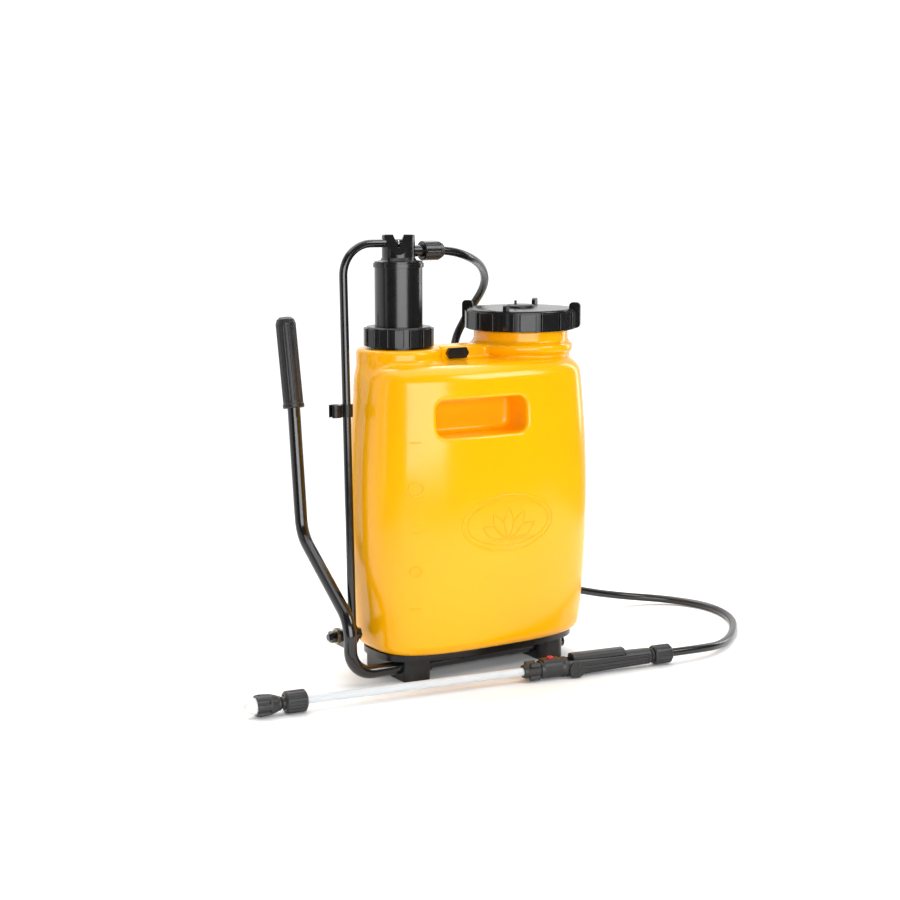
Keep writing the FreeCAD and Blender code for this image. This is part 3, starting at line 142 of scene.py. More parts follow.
def blow_moulded_polyethylene():
    """Blow-moulded HDPE with pigment: a waxy skin, soft broad glints and light that soaks in a little."""
    colours = bpy.context.scene.sprayer_colours
    material, tree = blank("blow_moulded_polyethylene")
    place = add(tree, "TexCoord")
    # Pigment and wall thickness drift over about 120 mm.
    drift = add(tree, "TexNoise", {"Scale": 1 / 0.12, "Detail": 3.0}, {"Vector": place.outputs["Object"]})
    tone = add(tree, "MixRGB", {"Color1": (*colours.tank, 1), "Color2": (*colours.tank_shade, 1)},
               {"Fac": drift.outputs["Fac"]})
    # The mould is sand-blasted, so the skin has a 0.9 mm grain over slow 30 mm waves left by cooling.
    grain = add(tree, "TexNoise", {"Scale": 1 / 0.0009, "Detail": 2.0}, {"Vector": place.outputs["Object"]})
    waves = add(tree, "TexNoise", {"Scale": 1 / 0.03, "Detail": 1.0}, {"Vector": place.outputs["Object"]})
    slow = add(tree, "Bump", {"Strength": 0.35, "Distance": 0.0006}, {"Height": waves.outputs["Fac"]})
    skin = add(tree, "Bump", {"Strength": 0.25, "Distance": 0.00006},
               {"Height": grain.outputs["Fac"], "Normal": slow.outputs["Normal"]})
    rough = add(tree, "MapRange", {"To Min": 0.15, "To Max": 0.2}, {"Value": drift.outputs["Fac"]})
    shader = add(tree, "BsdfPrincipled", {
        "IOR": 1.5, "Specular IOR Level": 0.42, "Subsurface Weight": 0.2, "Subsurface Radius": (0.9, 0.6, 0.05),
        "Subsurface Scale": 0.004,
    }, {"Base Color": tone.outputs["Color"], "Roughness": rough.outputs["Result"], "Normal": skin.outputs["Normal"]})
    finish_with(tree, shader)
    return material


def injection_moulded(name, colour, roughness, grain_mm, depth_mm, ior=1.49, edge=0.0005):
    """Injection-moulded plastic: an even skin with the mould's fine grain and softly broken edges."""
    material, tree = blank(name)
    place = add(tree, "TexCoord")
    dust = add(tree, "TexNoise", {"Scale": 1 / 0.018, "Detail": 4.0}, {"Vector": place.outputs["Object"]})
    pale = [min(1.0, c * 1.35 + 0.002) for c in colour]
    tone = add(tree, "MixRGB", {"Color1": (*colour, 1), "Color2": (*pale, 1)}, {"Fac": dust.outputs["Fac"]})
    grain = add(tree, "TexNoise", {"Scale": 1 / (grain_mm * MM), "Detail": 2.0}, {"Vector": place.outputs["Object"]})
    soft = add(tree, "Bevel", {"Radius": edge, "samples": 4})
    skin = add(tree, "Bump", {"Strength": 0.5, "Distance": depth_mm * MM},
               {"Height": grain.outputs["Fac"], "Normal": soft.outputs["Normal"]})
    rough = add(tree, "MapRange", {"To Min": roughness - 0.05, "To Max": roughness + 0.07},
                {"Value": dust.outputs["Fac"]})
    shader = add(tree, "BsdfPrincipled", {"IOR": ior}, {
        "Base Color": tone.outputs["Color"], "Roughness": rough.outputs["Result"], "Normal": skin.outputs["Normal"]})
    finish_with(tree, shader)
    return material


def powder_coated_steel():
    """Black powder coat on bent tube: glossy, with the orange peel of melted powder about 1.6 mm apart."""
    colours = bpy.context.scene.sprayer_colours
    material, tree = blank("powder_coated_steel")
    place = add(tree, "TexCoord")
    scuff = add(tree, "TexNoise", {"Scale": 1 / 0.012, "Detail": 5.0}, {"Vector": place.outputs["Object"]})
    pale = [c * 1.8 + 0.003 for c in colours.paint]
    tone = add(tree, "MixRGB", {"Color1": (*colours.paint, 1), "Color2": (*pale, 1)}, {"Fac": scuff.outputs["Fac"]})
    peel = add(tree, "TexNoise", {"Scale": 1 / 0.0016, "Detail": 1.0}, {"Vector": place.outputs["Object"]})
    skin = add(tree, "Bump", {"Strength": 0.35, "Distance": 0.00008}, {"Height": peel.outputs["Fac"]})
    rough = add(tree, "MapRange", {"To Min": 0.12, "To Max": 0.22}, {"Value": scuff.outputs["Fac"]})
    shader = add(tree, "BsdfPrincipled", {"IOR": 1.5, "Coat Weight": 0.4, "Coat Roughness": 0.12}, {
        "Base Color": tone.outputs["Color"], "Roughness": rough.outputs["Result"], "Normal": skin.outputs["Normal"]})
    finish_with(tree, shader)
    return material


def plated_steel(name, colour, roughness):
    """Turned and plated steel: a metal skin with tool marks 0.35 mm apart, drawn coarser than real to show."""
    material, tree = blank(name)
    place = add(tree, "TexCoord")
    stain = add(tree, "TexNoise", {"Scale": 1 / 0.004, "Detail": 4.0}, {"Vector": place.outputs["Object"]})
    warm = [min(1.0, c * f) for c, f in zip(colour, (1.06, 0.94, 0.74))]
    tone = add(tree, "MixRGB", {"Color1": (*colour, 1), "Color2": (*warm, 1)}, {"Fac": stain.outputs["Fac"]})
    marks = add(tree, "TexWave", {"Scale": 0.314 / 0.00035, "Distortion": 2.0}, {"Vector": place.outputs["Object"]})
    soft = add(tree, "Bevel", {"Radius": 0.0004, "samples": 4})
    skin = add(tree, "Bump", {"Strength": 0.2, "Distance": 0.00003},
               {"Height": marks.outputs["Fac"], "Normal": soft.outputs["Normal"]})
    rough = add(tree, "MapRange", {"To Min": roughness, "To Max": roughness + 0.15}, {"Value": stain.outputs["Fac"]})
    shader = add(tree, "BsdfPrincipled", {"Metallic": 1.0}, {
        "Base Color": tone.outputs["Color"], "Roughness": rough.outputs["Result"], "Normal": skin.outputs["Normal"]})
    finish_with(tree, shader)
    return material


def extruded_hose():
    """Extruded PVC hose: glossy black with fine lengthwise die lines, read from the tube's own UV map."""
    colours = bpy.context.scene.sprayer_colours
    material, tree = blank("extruded_pvc_hose")
    place = add(tree, "UVMap", {"uv_map": "route"})
    lines = add(tree, "TexWave", {"bands_direction": "X", "Scale": 0.314 / 0.0011, "Distortion": 1.5, "Detail": 2.0},
                {"Vector": place.outputs["UV"]})
    bloom = add(tree, "TexNoise", {"Scale": 1 / 0.02, "Detail": 4.0}, {"Vector": place.outputs["UV"]})
    pale = [c * 2.0 + 0.004 for c in colours.hose]
    tone = add(tree, "MixRGB", {"Color1": (*colours.hose, 1), "Color2": (*pale, 1)}, {"Fac": bloom.outputs["Fac"]})
    skin = add(tree, "Bump", {"Strength": 0.12, "Distance": 0.00005}, {"Height": lines.outputs["Fac"]})
    rough = add(tree, "MapRange", {"To Min": 0.16, "To Max": 0.27}, {"Value": bloom.outputs["Fac"]})
    shader = add(tree, "BsdfPrincipled", {"IOR": 1.53}, {
        "Base Color": tone.outputs["Color"], "Roughness": rough.outputs["Result"], "Normal": skin.outputs["Normal"]})
    finish_with(tree, shader)
    return material


def woven(name, colour, across_mm, along_mm, sheen):
    """Woven yarn: rows that cross at right angles on the piece's UV map, with a painted highlight on their crowns and
    painted shade between them.
    """
    material, tree = blank(name)
    place = add(tree, "UVMap", {"uv_map": "route"})
    warp = add(tree, "TexWave", {"bands_direction": "X", "Scale": 0.314 / (across_mm * MM)},
               {"Vector": place.outputs["UV"]})
    weft = add(tree, "TexWave", {"bands_direction": "Y", "Scale": 0.314 / (along_mm * MM), "Distortion": 0.6},
               {"Vector": place.outputs["UV"]})
    cross = add(tree, "Math", {"operation": "MULTIPLY"})
    tree.links.new(warp.outputs["Fac"], cross.inputs[0])
    tree.links.new(weft.outputs["Fac"], cross.inputs[1])
    fuzz = add(tree, "TexNoise", {"Scale": 1 / 0.006, "Detail": 5.0}, {"Vector": place.outputs["UV"]})
    # Painted highlight and shade: the yarn crowns are painted up to 2.2 times paler, and the hollows between them keep
    # the dark colour.
    pale = [c * 2.2 + 0.01 for c in colour]
    tone = add(tree, "MixRGB", {"Color1": (*colour, 1), "Color2": (*pale, 1)}, {"Fac": cross.outputs["Value"]})
    skin = add(tree, "Bump", {"Strength": 0.8, "Distance": 0.0003}, {"Height": cross.outputs["Value"]})
    rough = add(tree, "MapRange", {"To Min": 0.72, "To Max": 0.9}, {"Value": fuzz.outputs["Fac"]})
    shader = add(tree, "BsdfPrincipled", {"IOR": 1.5, "Sheen Weight": sheen, "Sheen Roughness": 0.4}, {
        "Base Color": tone.outputs["Color"], "Roughness": rough.outputs["Result"], "Normal": skin.outputs["Normal"]})
    finish_with(tree, shader)
    return material


def extruded_lance():
    """Natural polypropylene tube: milky, lets light through, with faint draw lines round it."""
    colours = bpy.context.scene.sprayer_colours
    material, tree = blank("extruded_natural_polypropylene")
    place = add(tree, "TexCoord")
    cloud = add(tree, "TexNoise", {"Scale": 1 / 0.01, "Detail": 3.0}, {"Vector": place.outputs["Object"]})
    milk = [min(1.0, c * 1.1) for c in colours.lance]
    tone = add(tree, "MixRGB", {"Color1": (*colours.lance, 1), "Color2": (*milk, 1)}, {"Fac": cloud.outputs["Fac"]})
    skin = add(tree, "Bump", {"Strength": 0.1, "Distance": 0.00005}, {"Height": cloud.outputs["Fac"]})
    rough = add(tree, "MapRange", {"To Min": 0.2, "To Max": 0.28}, {"Value": cloud.outputs["Fac"]})
    shader = add(tree, "BsdfPrincipled", {
        "IOR": 1.49, "Subsurface Weight": 0.35, "Subsurface Radius": (1.0, 1.0, 1.0), "Subsurface Scale": 0.002,
    }, {
        "Base Color": tone.outputs["Color"], "Roughness": rough.outputs["Result"], "Normal": skin.outputs["Normal"]})
    finish_with(tree, shader)
    return material


def seamless_paper():
    """Matt background paper: pale, with a fibre tooth of about 1.5 mm that keeps the floor from looking empty."""
    material, tree = blank("seamless_paper")
    place = add(tree, "TexCoord")
    tooth = add(tree, "TexNoise", {"Scale": 1 / 0.0015, "Detail": 2.0}, {"Vector": place.outputs["Object"]})
    tone = add(tree, "MixRGB", {"Color1": (0.93, 0.93, 0.93, 1), "Color2": (0.96, 0.96, 0.96, 1)},
               {"Fac": tooth.outputs["Fac"]})
    shader = add(tree, "BsdfPrincipled", {"IOR": 1.45, "Roughness": 0.9}, {"Base Color": tone.outputs["Color"]})
    finish_with(tree, shader)
    return material


def finish(name):
    """The material of a finish, made the first time it is asked for."""
    colours = bpy.context.scene.sprayer_colours
    makers = {
        "blow_moulded_polyethylene": blow_moulded_polyethylene,
        # Caps and nuts: copolymer polypropylene from a lightly polished tool, so it glints on its ribs.
        "moulded_polypropylene": lambda: injection_moulded(
            "moulded_polypropylene", colours.black_plastic, 0.24, 0.8, 0.04),
        # Air chamber: thick glass-filled nylon, turned smooth, with broad upright glints.
        "moulded_nylon": lambda: injection_moulded("moulded_nylon", colours.black_plastic, 0.22, 1.6, 0.025, 1.53),
        # Wand: glass-filled nylon with a matt spark-eroded grain that reads as dark grey.
        "textured_nylon": lambda: injection_moulded("textured_nylon", colours.wand_plastic, 0.42, 0.7, 0.08, 1.53),
        "powder_coated_steel": powder_coated_steel,
        "zinc_plated_steel": lambda: plated_steel("zinc_plated_steel", colours.zinc, 0.28),
        "ground_steel": lambda: plated_steel("ground_steel", linear("#C6C8CA"), 0.12),
        # Grip and seals: compression-moulded rubber with a soft satin skin and slight bloom.
        "moulded_rubber": lambda: injection_moulded("moulded_rubber", colours.rubber, 0.4, 1.1, 0.05, 1.52),
        "extruded_pvc_hose": extruded_hose,
        # Webbing: polypropylene yarn, 1.6 mm ribs across, drawn at their real pitch.
        "woven_polypropylene_webbing": lambda: woven("woven_polypropylene_webbing", colours.webbing, 2.0, 1.6, 0.25),
        # Pad cover: nylon plain weave, 0.5 mm yarn drawn at 1.2 mm so that it shows.
        "woven_nylon_cover": lambda: woven("woven_nylon_cover", colours.pad, 1.2, 1.2, 0.45),
        # Jet insert: machined acetal, white and slightly waxy.
        "machined_acetal": lambda: injection_moulded("machined_acetal", colours.nozzle, 0.3, 1.2, 0.03, 1.48),
        "moulded_acetal": lambda: injection_moulded("moulded_acetal", colours.button, 0.28, 1.0, 0.02, 1.48),
        "extruded_natural_polypropylene": extruded_lance,
        "seamless_paper": seamless_paper,
    }
    return bpy.data.materials.get(name) or makers[name]()


# ---- mesh helpers ---------------------------------------------------------------------------------------
def place_piece(name, mesh, material, body, nodes=()):
    """Adds a mesh to the scene as a piece that rides on a body and stands for the given nodes."""
    piece = bpy.data.objects.new(name, mesh)
    bpy.context.scene.collection.objects.link(piece)
    mesh.materials.clear()
    mesh.materials.append(finish(material))
    mesh.polygons.foreach_set("use_smooth", [True] * len(mesh.polygons))
    if body:
        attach(piece, body)
    if nodes:
        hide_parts(*nodes)
    return piece


def skin_from_rings(name, rings, uvs=None, close_ends=True):
    """Joins rings of equal count into a skin; uvs gives each ring point's place on the "route" map."""
    count = len(rings[0])
    bm = bmesh.new()
    rows = [[bm.verts.new(point) for point in ring] for ring in rings]
    layer = bm.loops.layers.uv.new("route")
    for i in range(len(rows) - 1):
        for j in range(count):
            k = (j + 1) % count
            face = bm.faces.new((rows[i][j], rows[i][k], rows[i + 1][k], rows[i + 1][j]))
            if uvs:
                wrap = uvs[i][j][0] + (uvs[i][1][0] - uvs[i][0][0])
                corners = [uvs[i][j], uvs[i][k], uvs[i + 1][k], uvs[i + 1][j]]
                if k == 0:
                    corners[1] = (wrap, corners[1][1])
                    corners[2] = (wrap, corners[2][1])
                for loop, place in zip(face.loops, corners):
                    loop[layer].uv = place
    if close_ends:
        bm.faces.new(list(reversed(rows[0])))
        bm.faces.new(rows[-1])
    bmesh.ops.recalc_face_normals(bm, faces=bm.faces)
    mesh = bpy.data.meshes.new(name)
    bm.to_mesh(mesh)
    bm.free()
    return mesh


def spline_line(points, resolution=10):
    """Points along the smooth NURBS spline that has these control points."""
    curve = bpy.data.curves.new("line", "CURVE")
    curve.dimensions = "3D"
    curve.resolution_u = resolution
    spline = curve.splines.new("NURBS")
    spline.points.add(len(points) - 1)
    for knot, point in zip(spline.points, points):
        knot.co = (*point, 1.0)
    spline.order_u = 3
    spline.use_endpoint_u = True
    holder = bpy.data.objects.new("line", curve)
    bpy.context.scene.collection.objects.link(holder)
    bpy.context.view_layer.update()
    mesh = bpy.data.meshes.new_from_object(holder)
    line = [vertex.co.copy() for vertex in mesh.vertices]
    bpy.data.objects.remove(holder)
    bpy.data.meshes.remove(mesh)
    return line


def along(line):
    """Distance from the start to each point of a line."""
    total = [0.0]
    for a, b in zip(line, line[1:]):
        total.append(total[-1] + (b - a).length)
    return total


def directions(line):
    """Unit direction of a line at each of its points."""
    found = []
    for i in range(len(line)):
        found.append((line[min(i + 1, len(line) - 1)] - line[max(i - 1, 0)]).normalized())
    return found


# ---- tank --------------------------------------------------------------------------------------------------
# The skin is the zero surface of a distance field in millimetres, so its parts blend as moulded plastic does.
TANK_HALF = (154.5, 86.0)
TANK_Z = (34.0, 383.0)
FULLEST_Z = 200.0
BOSS = (-90.0, 18.0, 52.0, 400.0)
NECK = (88.0, 18.0, 416.0)
NECK_PROFILE = ((343, 44.0), (377, 62.0), (386, 62.0), (391, 65.4), (397, 65.4), (403, 59.5), (420, 59.5))
BRIDGE = (18.0, 17.0, 400.0)
RECESS = (-91.5, 32.5, 300.0, 344.0, -36.0)


def joined(a, b, radius):
    """Distance to the union of two shapes, with a fillet where they meet."""
    meeting = np.hypot(np.maximum(radius - a, 0), np.maximum(radius - b, 0))
    return np.maximum(radius, np.minimum(a, b)) - meeting


def shared(a, b, radius):
    """Distance to what two shapes share, with its edge rounded."""
    meeting = np.hypot(np.maximum(radius + a, 0), np.maximum(radius + b, 0))
    return np.minimum(-radius, np.maximum(a, b)) + meeting


def tank_halves(z):
    """Half width and half depth of the barrel at a height."""
    draw = 7.0 * ((z - FULLEST_Z) / 150.0) ** 2
    return TANK_HALF[0] - draw, TANK_HALF[1] - draw


def tank_field(p):
    x, y, z = p[:, 0], p[:, 1], p[:, 2]
    half_x, half_y = tank_halves(z)
    s = np.cbrt(np.abs(x / half_x) ** 3 + np.abs(y / half_y) ** 3) + 1e-6
    slope = np.hypot(x ** 2 / half_x ** 3, y ** 2 / half_y ** 3) / s ** 2 + 1e-6
    barrel = shared(shared((s - 1) / slope, z - TANK_Z[1], 20.0), TANK_Z[0] - z, 14.0)
    boss = shared(np.hypot(x - BOSS[0], y - BOSS[1]) - BOSS[2], z - BOSS[3], 6.0)
    boss = shared(boss, 350.0 - z, 2.0)
    bridge = shared(np.abs(y - BRIDGE[0]) - BRIDGE[1], z - BRIDGE[2], 3.0)
    bridge = shared(shared(bridge, np.abs(x + 1.0) - 89.0, 2.0), 350.0 - z, 2.0)
    heights, radii = zip(*NECK_PROFILE)
    neck = shared(np.hypot(x - NECK[0], y - NECK[1]) - np.interp(z, heights, radii), z - NECK[2], 1.0)
    neck = shared(neck, 345.0 - z, 2.0)
    whole = joined(joined(joined(barrel, boss, 7.0), bridge, 5.0), neck, 4.0)
    mid_x, mid_z = (RECESS[0] + RECESS[1]) / 2, (RECESS[2] + RECESS[3]) / 2
    across = np.abs(x - mid_x) - (RECESS[1] - RECESS[0]) / 2 + 12.0
    upward = np.abs(z - mid_z) - (RECESS[3] - RECESS[2]) / 2 + 12.0
    outline = np.hypot(np.maximum(across, 0), np.maximum(upward, 0)) + np.minimum(np.maximum(across, upward), 0) - 12.0
    pocket = shared(outline, y - RECESS[4], 7.0)
    return shared(whole, -pocket, 4.0)


def settle(points, field, rounds):
    """Moves points onto a field's zero surface."""
    h = 0.05
    for _ in range(rounds):
        value = field(points)
        slope = np.stack([(field(points + step) - field(points - step)) / (2 * h) for step in np.eye(3) * h], 1)
        move = (value / np.maximum((slope ** 2).sum(1), 0.2))[:, None] * slope
        size = np.linalg.norm(move, axis=1, keepdims=True)
        points = points - move * np.minimum(1.0, 2.0 / np.maximum(size, 1e-9))
    return points


def field_surface(field, low, high, step):
    """Quads over a field's zero surface: one vertex in each grid cell it crosses, settled onto it."""
    axes = [np.arange(a, b + step, step) for a, b in zip(low, high)]
    grid = np.stack(np.meshgrid(*axes, indexing="ij"), -1)
    inside = field(grid.reshape(-1, 3)).reshape(grid.shape[:3]) < 0
    corners = sum(inside[i:len(axes[0]) - 1 + i, j:len(axes[1]) - 1 + j, k:len(axes[2]) - 1 + k].astype(int)
                  for i in (0, 1) for j in (0, 1) for k in (0, 1))
    crossed = (corners > 0) & (corners < 8)
    number = np.full(crossed.shape, -1)
    number[crossed] = np.arange(crossed.sum())
    points = np.argwhere(crossed) * step + np.array(low) + step / 2
    faces = []
    for a in range(3):
        b, c = (a + 1) % 3, (a + 2) % 3
        turned = np.moveaxis(inside, (a, b, c), (0, 1, 2))
        cells = np.moveaxis(number, (a, b, c), (0, 1, 2))
        change = turned[:-1] != turned[1:]
        i, j, k = np.nonzero(change[:, 1:-1, 1:-1])
        j, k = j + 1, k + 1
        quad = np.stack([cells[i, j - 1, k - 1], cells[i, j, k - 1], cells[i, j, k], cells[i, j - 1, k]], 1)
        leaving = turned[i, j, k]
        quad[~leaving] = quad[~leaving][:, ::-1]
        faces.append(quad)
    faces = np.concatenate(faces)
    points = settle(points, field, 6)
    ends = np.concatenate([faces[:, [i, (i + 1) % 4]] for i in range(4)])
    for _ in range(4):
        total, count = np.zeros_like(points), np.zeros(len(points))
        for a, b in ((0, 1), (1, 0)):
            np.add.at(total, ends[:, a], points[ends[:, b]])
            np.add.at(count, ends[:, a], 1)
        points = settle(0.5 * points + 0.5 * total / count[:, None], field, 2)
    return settle(points, field, 4), faces


def front_of_tank(x, z):
    """The tank's front surface at a place in millimetres, drawn as a point in metres."""
    half_x, half_y = tank_halves(z)
    return Vector((x, -half_y * (1 - abs(x / half_x) ** 3) ** (1 / 3), z)) * MM


def raised_line(points, width, height, closed=False):
    """Rings of a low rounded bead that follows the tank's front through (x, z) places."""
    rings = []
    count = len(points)
    for i, (x, z) in enumerate(points):
        ahead = points[(i + 1) % count] if closed or i < count - 1 else points[i]
        behind = points[i - 1] if closed or i > 0 else points[i]
        run = Vector((ahead[0] - behind[0], ahead[1] - behind[1])).normalized()
        taper = 1.0 if closed or 0 < i < count - 1 else 0.35
        ring = []
        for turn in range(8):
            angle = math.pi * turn / 7
            side = math.cos(angle) * width / 2 * taper
            base = front_of_tank(x - run.y * side, z + run.x * side)
            ring.append(base + Vector((0, -1, 0)) * (math.sin(angle) * height * taper - 0.3) * MM)
        rings.append(ring)
    if closed:
        rings.append(rings[0])
    return rings


def arc_places(x, z, radius_x, radius_z, start=0, end=360, count=40):
    """(x, z) places round an ellipse."""
    turns = [math.radians(start + (end - start) * i / count) for i in range(count + (end - start < 360))]
    return [(x + radius_x * math.cos(a), z + radius_z * math.sin(a)) for a in turns]


def leaf_places(x, z, length, wide, lean):
    """A pointed leaf outline standing on a place and leaning by degrees."""
    a = math.radians(lean)
    outline = [(wide * math.sin(math.pi * t), length * t) for t in np.linspace(0, 1, 14)]
    outline += [(-wide * math.sin(math.pi * t), length * t) for t in np.linspace(1, 0, 14)[1:-1]]
    return [(x + u * math.cos(a) + v * math.sin(a), z - u * math.sin(a) + v * math.cos(a)) for u, v in outline]


def tank_marks():
    """Raised level marks and a plain leaf emblem: (places, closed, width factor) for each line."""
    marks = []
    for z in (296, 189, 96):
        marks.append(([(x, z) for x in np.linspace(-124, -111, 5)], False, 1.0))
    marks.append((arc_places(-118, 241, 8, 8), True, 1.0))
    marks.append((arc_places(-118, 142, 6, 6), True, 1.0))
    middle_x, middle_z = 3, 192
    marks.append((arc_places(middle_x, middle_z, 65, 34, count=80), True, 1.3))
    marks.append((arc_places(middle_x, middle_z, 58, 28, count=80), True, 0.8))
    for lean in (-62, -31, 0, 31, 62):
        marks.append((leaf_places(middle_x + lean * 0.12, middle_z - 19, 38 - abs(lean) * 0.06, 6.5, lean), True, 0.9))
    marks.append(([(x, middle_z - 22 + abs(x - middle_x) * 0.04) for x in np.linspace(-34, 40, 20)], False, 0.9))
    return marks


class SPRAYER_OT_tank(bpy.types.Operator):
    """Make the moulded tank with its pump boss, filler neck and finger pocket"""
    bl_idname = "sprayer.tank"
    bl_label = "Tank"

    def execute(self, context):
        sizes = context.scene.sprayer_sizes
        step = sizes.tank_mesh / MM
        points, faces = field_surface(tank_field, (-160, -92, 28), (160, 92, 422), step)
        mesh = bpy.data.meshes.new("tank_skin")
        mesh.from_pydata((points * MM).tolist(), [], faces.tolist())
        place_piece("tank_skin", mesh, "blow_moulded_polyethylene", "tank", ["tank_shell"])
        return {"FINISHED"}


class SPRAYER_OT_marks(bpy.types.Operator):
    """Make the level marks and leaf emblem that stand out of the tank's front"""
    bl_idname = "sprayer.marks"
    bl_label = "Tank marks"

    def execute(self, context):
        sizes = context.scene.sprayer_sizes
        whole = bmesh.new()
        for places, closed, factor in tank_marks():
            rings = raised_line(places, sizes.mark_width / MM * factor, sizes.mark_height / MM, closed)
            mesh = skin_from_rings("line", rings, close_ends=not closed)
            whole.from_mesh(mesh)
            bpy.data.meshes.remove(mesh)
        bmesh.ops.remove_doubles(whole, verts=whole.verts, dist=1e-6)
        mesh = bpy.data.meshes.new("tank_marks")
        whole.to_mesh(mesh)
        whole.free()
        place_piece("tank_marks", mesh, "blow_moulded_polyethylene", "tank")
        return {"FINISHED"}


# ---- hoses ------------------------------------------------------------------------------------------------------
HOSE_UPPER = [
    (-0.0395, 0.018, 0.516), (-0.0197, 0.018, 0.516), (0.0153, 0.0266, 0.5077), (0.0661, 0.0733, 0.4923),
    (0.0911, 0.1037, 0.4666), (0.0839, 0.1334, 0.4311), (0.058, 0.1347, 0.3886), (0.045, 0.099, 0.350),
    (0.045, 0.099, 0.300),
]
HOSE_LOWER = [
    (0.045, 0.099, 0.300), (0.045, 0.099, 0.245), (0.060, 0.103, 0.185), (0.092, 0.112, 0.130),
    (0.142, 0.121, 0.082), (0.205, 0.125, 0.050), (0.275, 0.127, 0.028), (0.343, 0.125, 0.013),
    (0.403, 0.098, 0.0065), (0.430, 0.040, 0.0054), (0.412, -0.030, 0.0054), (0.360, -0.090, 0.0054),
    (0.305, -0.132, 0.0075), (0.2559, -0.14953, 0.013), (0.2013, -0.142384, 0.013),
]


def tube_along(name, line, radius, sides=24):
    """A round tube round a line, turned as little as possible from ring to ring."""
    ways = directions(line)
    travel = along(line)
    side = ways[0].orthogonal().normalized()
    rings, uvs = [], []
    for point, way, distance in zip(line, ways, travel):
        side = (side - way * side.dot(way)).normalized()
        other = way.cross(side)
        ring, row = [], []
        for j in range(sides):
            angle = 2 * math.pi * j / sides
            ring.append(point + (side * math.cos(angle) + other * math.sin(angle)) * radius)
            row.append((radius * angle, distance))
        rings.append(ring)
        uvs.append(row)
    return skin_from_rings(name, rings, uvs)


class SPRAYER_OT_hoses(bpy.types.Operator):
    """Make the pressure hose in its two runs, from the pump to the tank's clip and on to the wand"""
    bl_idname = "sprayer.hoses"
    bl_label = "Hoses"

    def execute(self, context):
        diameter = context.scene.sprayer_sizes.hose_diameter
        upper = spline_line(HOSE_UPPER)
        piece = place_piece("hose_upper_run", tube_along("hose_upper_run", upper, diameter / 2),
                            "extruded_pvc_hose", None, ["hose_upper"])
        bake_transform(piece)
        lower = spline_line(HOSE_LOWER)
        piece = place_piece("hose_lower_run", tube_along("hose_lower_run", lower, diameter / 2),
                            "extruded_pvc_hose", None, ["hose_lower"])
        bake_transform(piece)
        return {"FINISHED"}


# ---- shoulder straps ---------------------------------------------------------------------------------------------
STRAP_PATH = [
    (0, 0.038, 0.3885), (0, 0.084, 0.3885), (0, 0.108, 0.352), (0, 0.120, 0.270), (0, 0.108, 0.185),
    (0, 0.092, 0.120), (0, 0.084, 0.064), (0, 0.084, 0.020),
]
STRAP_TOP_Z = 0.3885
STRAP_SIDES = (("left", -0.025, 9.0), ("right", 0.008, -9.0))
PAD_Z = (0.192, 0.352)


def leaned(point, top_x, degrees):
    """A point drawn at X = 0, moved to one strap's place and slant."""
    turn = Matrix.Rotation(math.radians(degrees), 3, "Y")
    pivot = Vector((0, 0, STRAP_TOP_Z))
    return turn @ (Vector(point) - pivot) + pivot + Vector((top_x, 0, 0))


def band_along(name, line, profile, lean):
    """A band whose cross-section, given as (across, out) for each share of its length, follows a line in the YZ plane."""
    travel = along(line)
    rings, uvs = [], []
    for point, way, distance in zip(line, directions(line), travel):
        out = Vector((0, way.z, -way.y)) * -1.0
        outline = profile(distance / travel[-1])
        ring = [leaned(point + Vector((across, 0, 0)) + out * rise, *lean) for across, rise in outline]
        rings.append(ring)
        uvs.append([(across, distance) for across, rise in outline])
    return skin_from_rings(name, rings, uvs)


def evenly(line, count):
    """The same line as evenly spaced points."""
    travel = along(line)
    found = []
    for target in np.linspace(0, travel[-1], count):
        i = min(int(np.searchsorted(travel, target, side="right")) - 1, len(line) - 2)
        share = (target - travel[i]) / (travel[i + 1] - travel[i])
        found.append(line[i].lerp(line[i + 1], share))
    return found


class SPRAYER_OT_straps(bpy.types.Operator):
    """Make the two lengths of shoulder webbing"""
    bl_idname = "sprayer.straps"
    bl_label = "Shoulder webbing"

    def execute(self, context):
        sizes = context.scene.sprayer_sizes
        half, thick = sizes.webbing_width / 2, sizes.webbing_thickness / 2
        line = evenly(spline_line(STRAP_PATH), 150)

        def selvedge(share):
            """Flat band with rounded, slightly thicker edges."""
            top = [(half * t, thick * (0.92 + 0.08 * abs(t))) for t in np.linspace(-0.96, 0.96, 9)]
            edge = [(half, thick * 0.4), (half, -thick * 0.4)]
            under = [(half * t, -thick * (0.92 + 0.08 * abs(t))) for t in np.linspace(0.96, -0.96, 9)]
            return top + edge + under + [(-half, -thick * 0.4), (-half, thick * 0.4)]

        for side, top_x, lean in STRAP_SIDES:
            mesh = band_along(side + "_webbing", line, selvedge, (top_x, lean))
            place_piece(side + "_webbing", mesh, "woven_polypropylene_webbing", "tank",
                        [side + "_strap_webbing"])
        return {"FINISHED"}


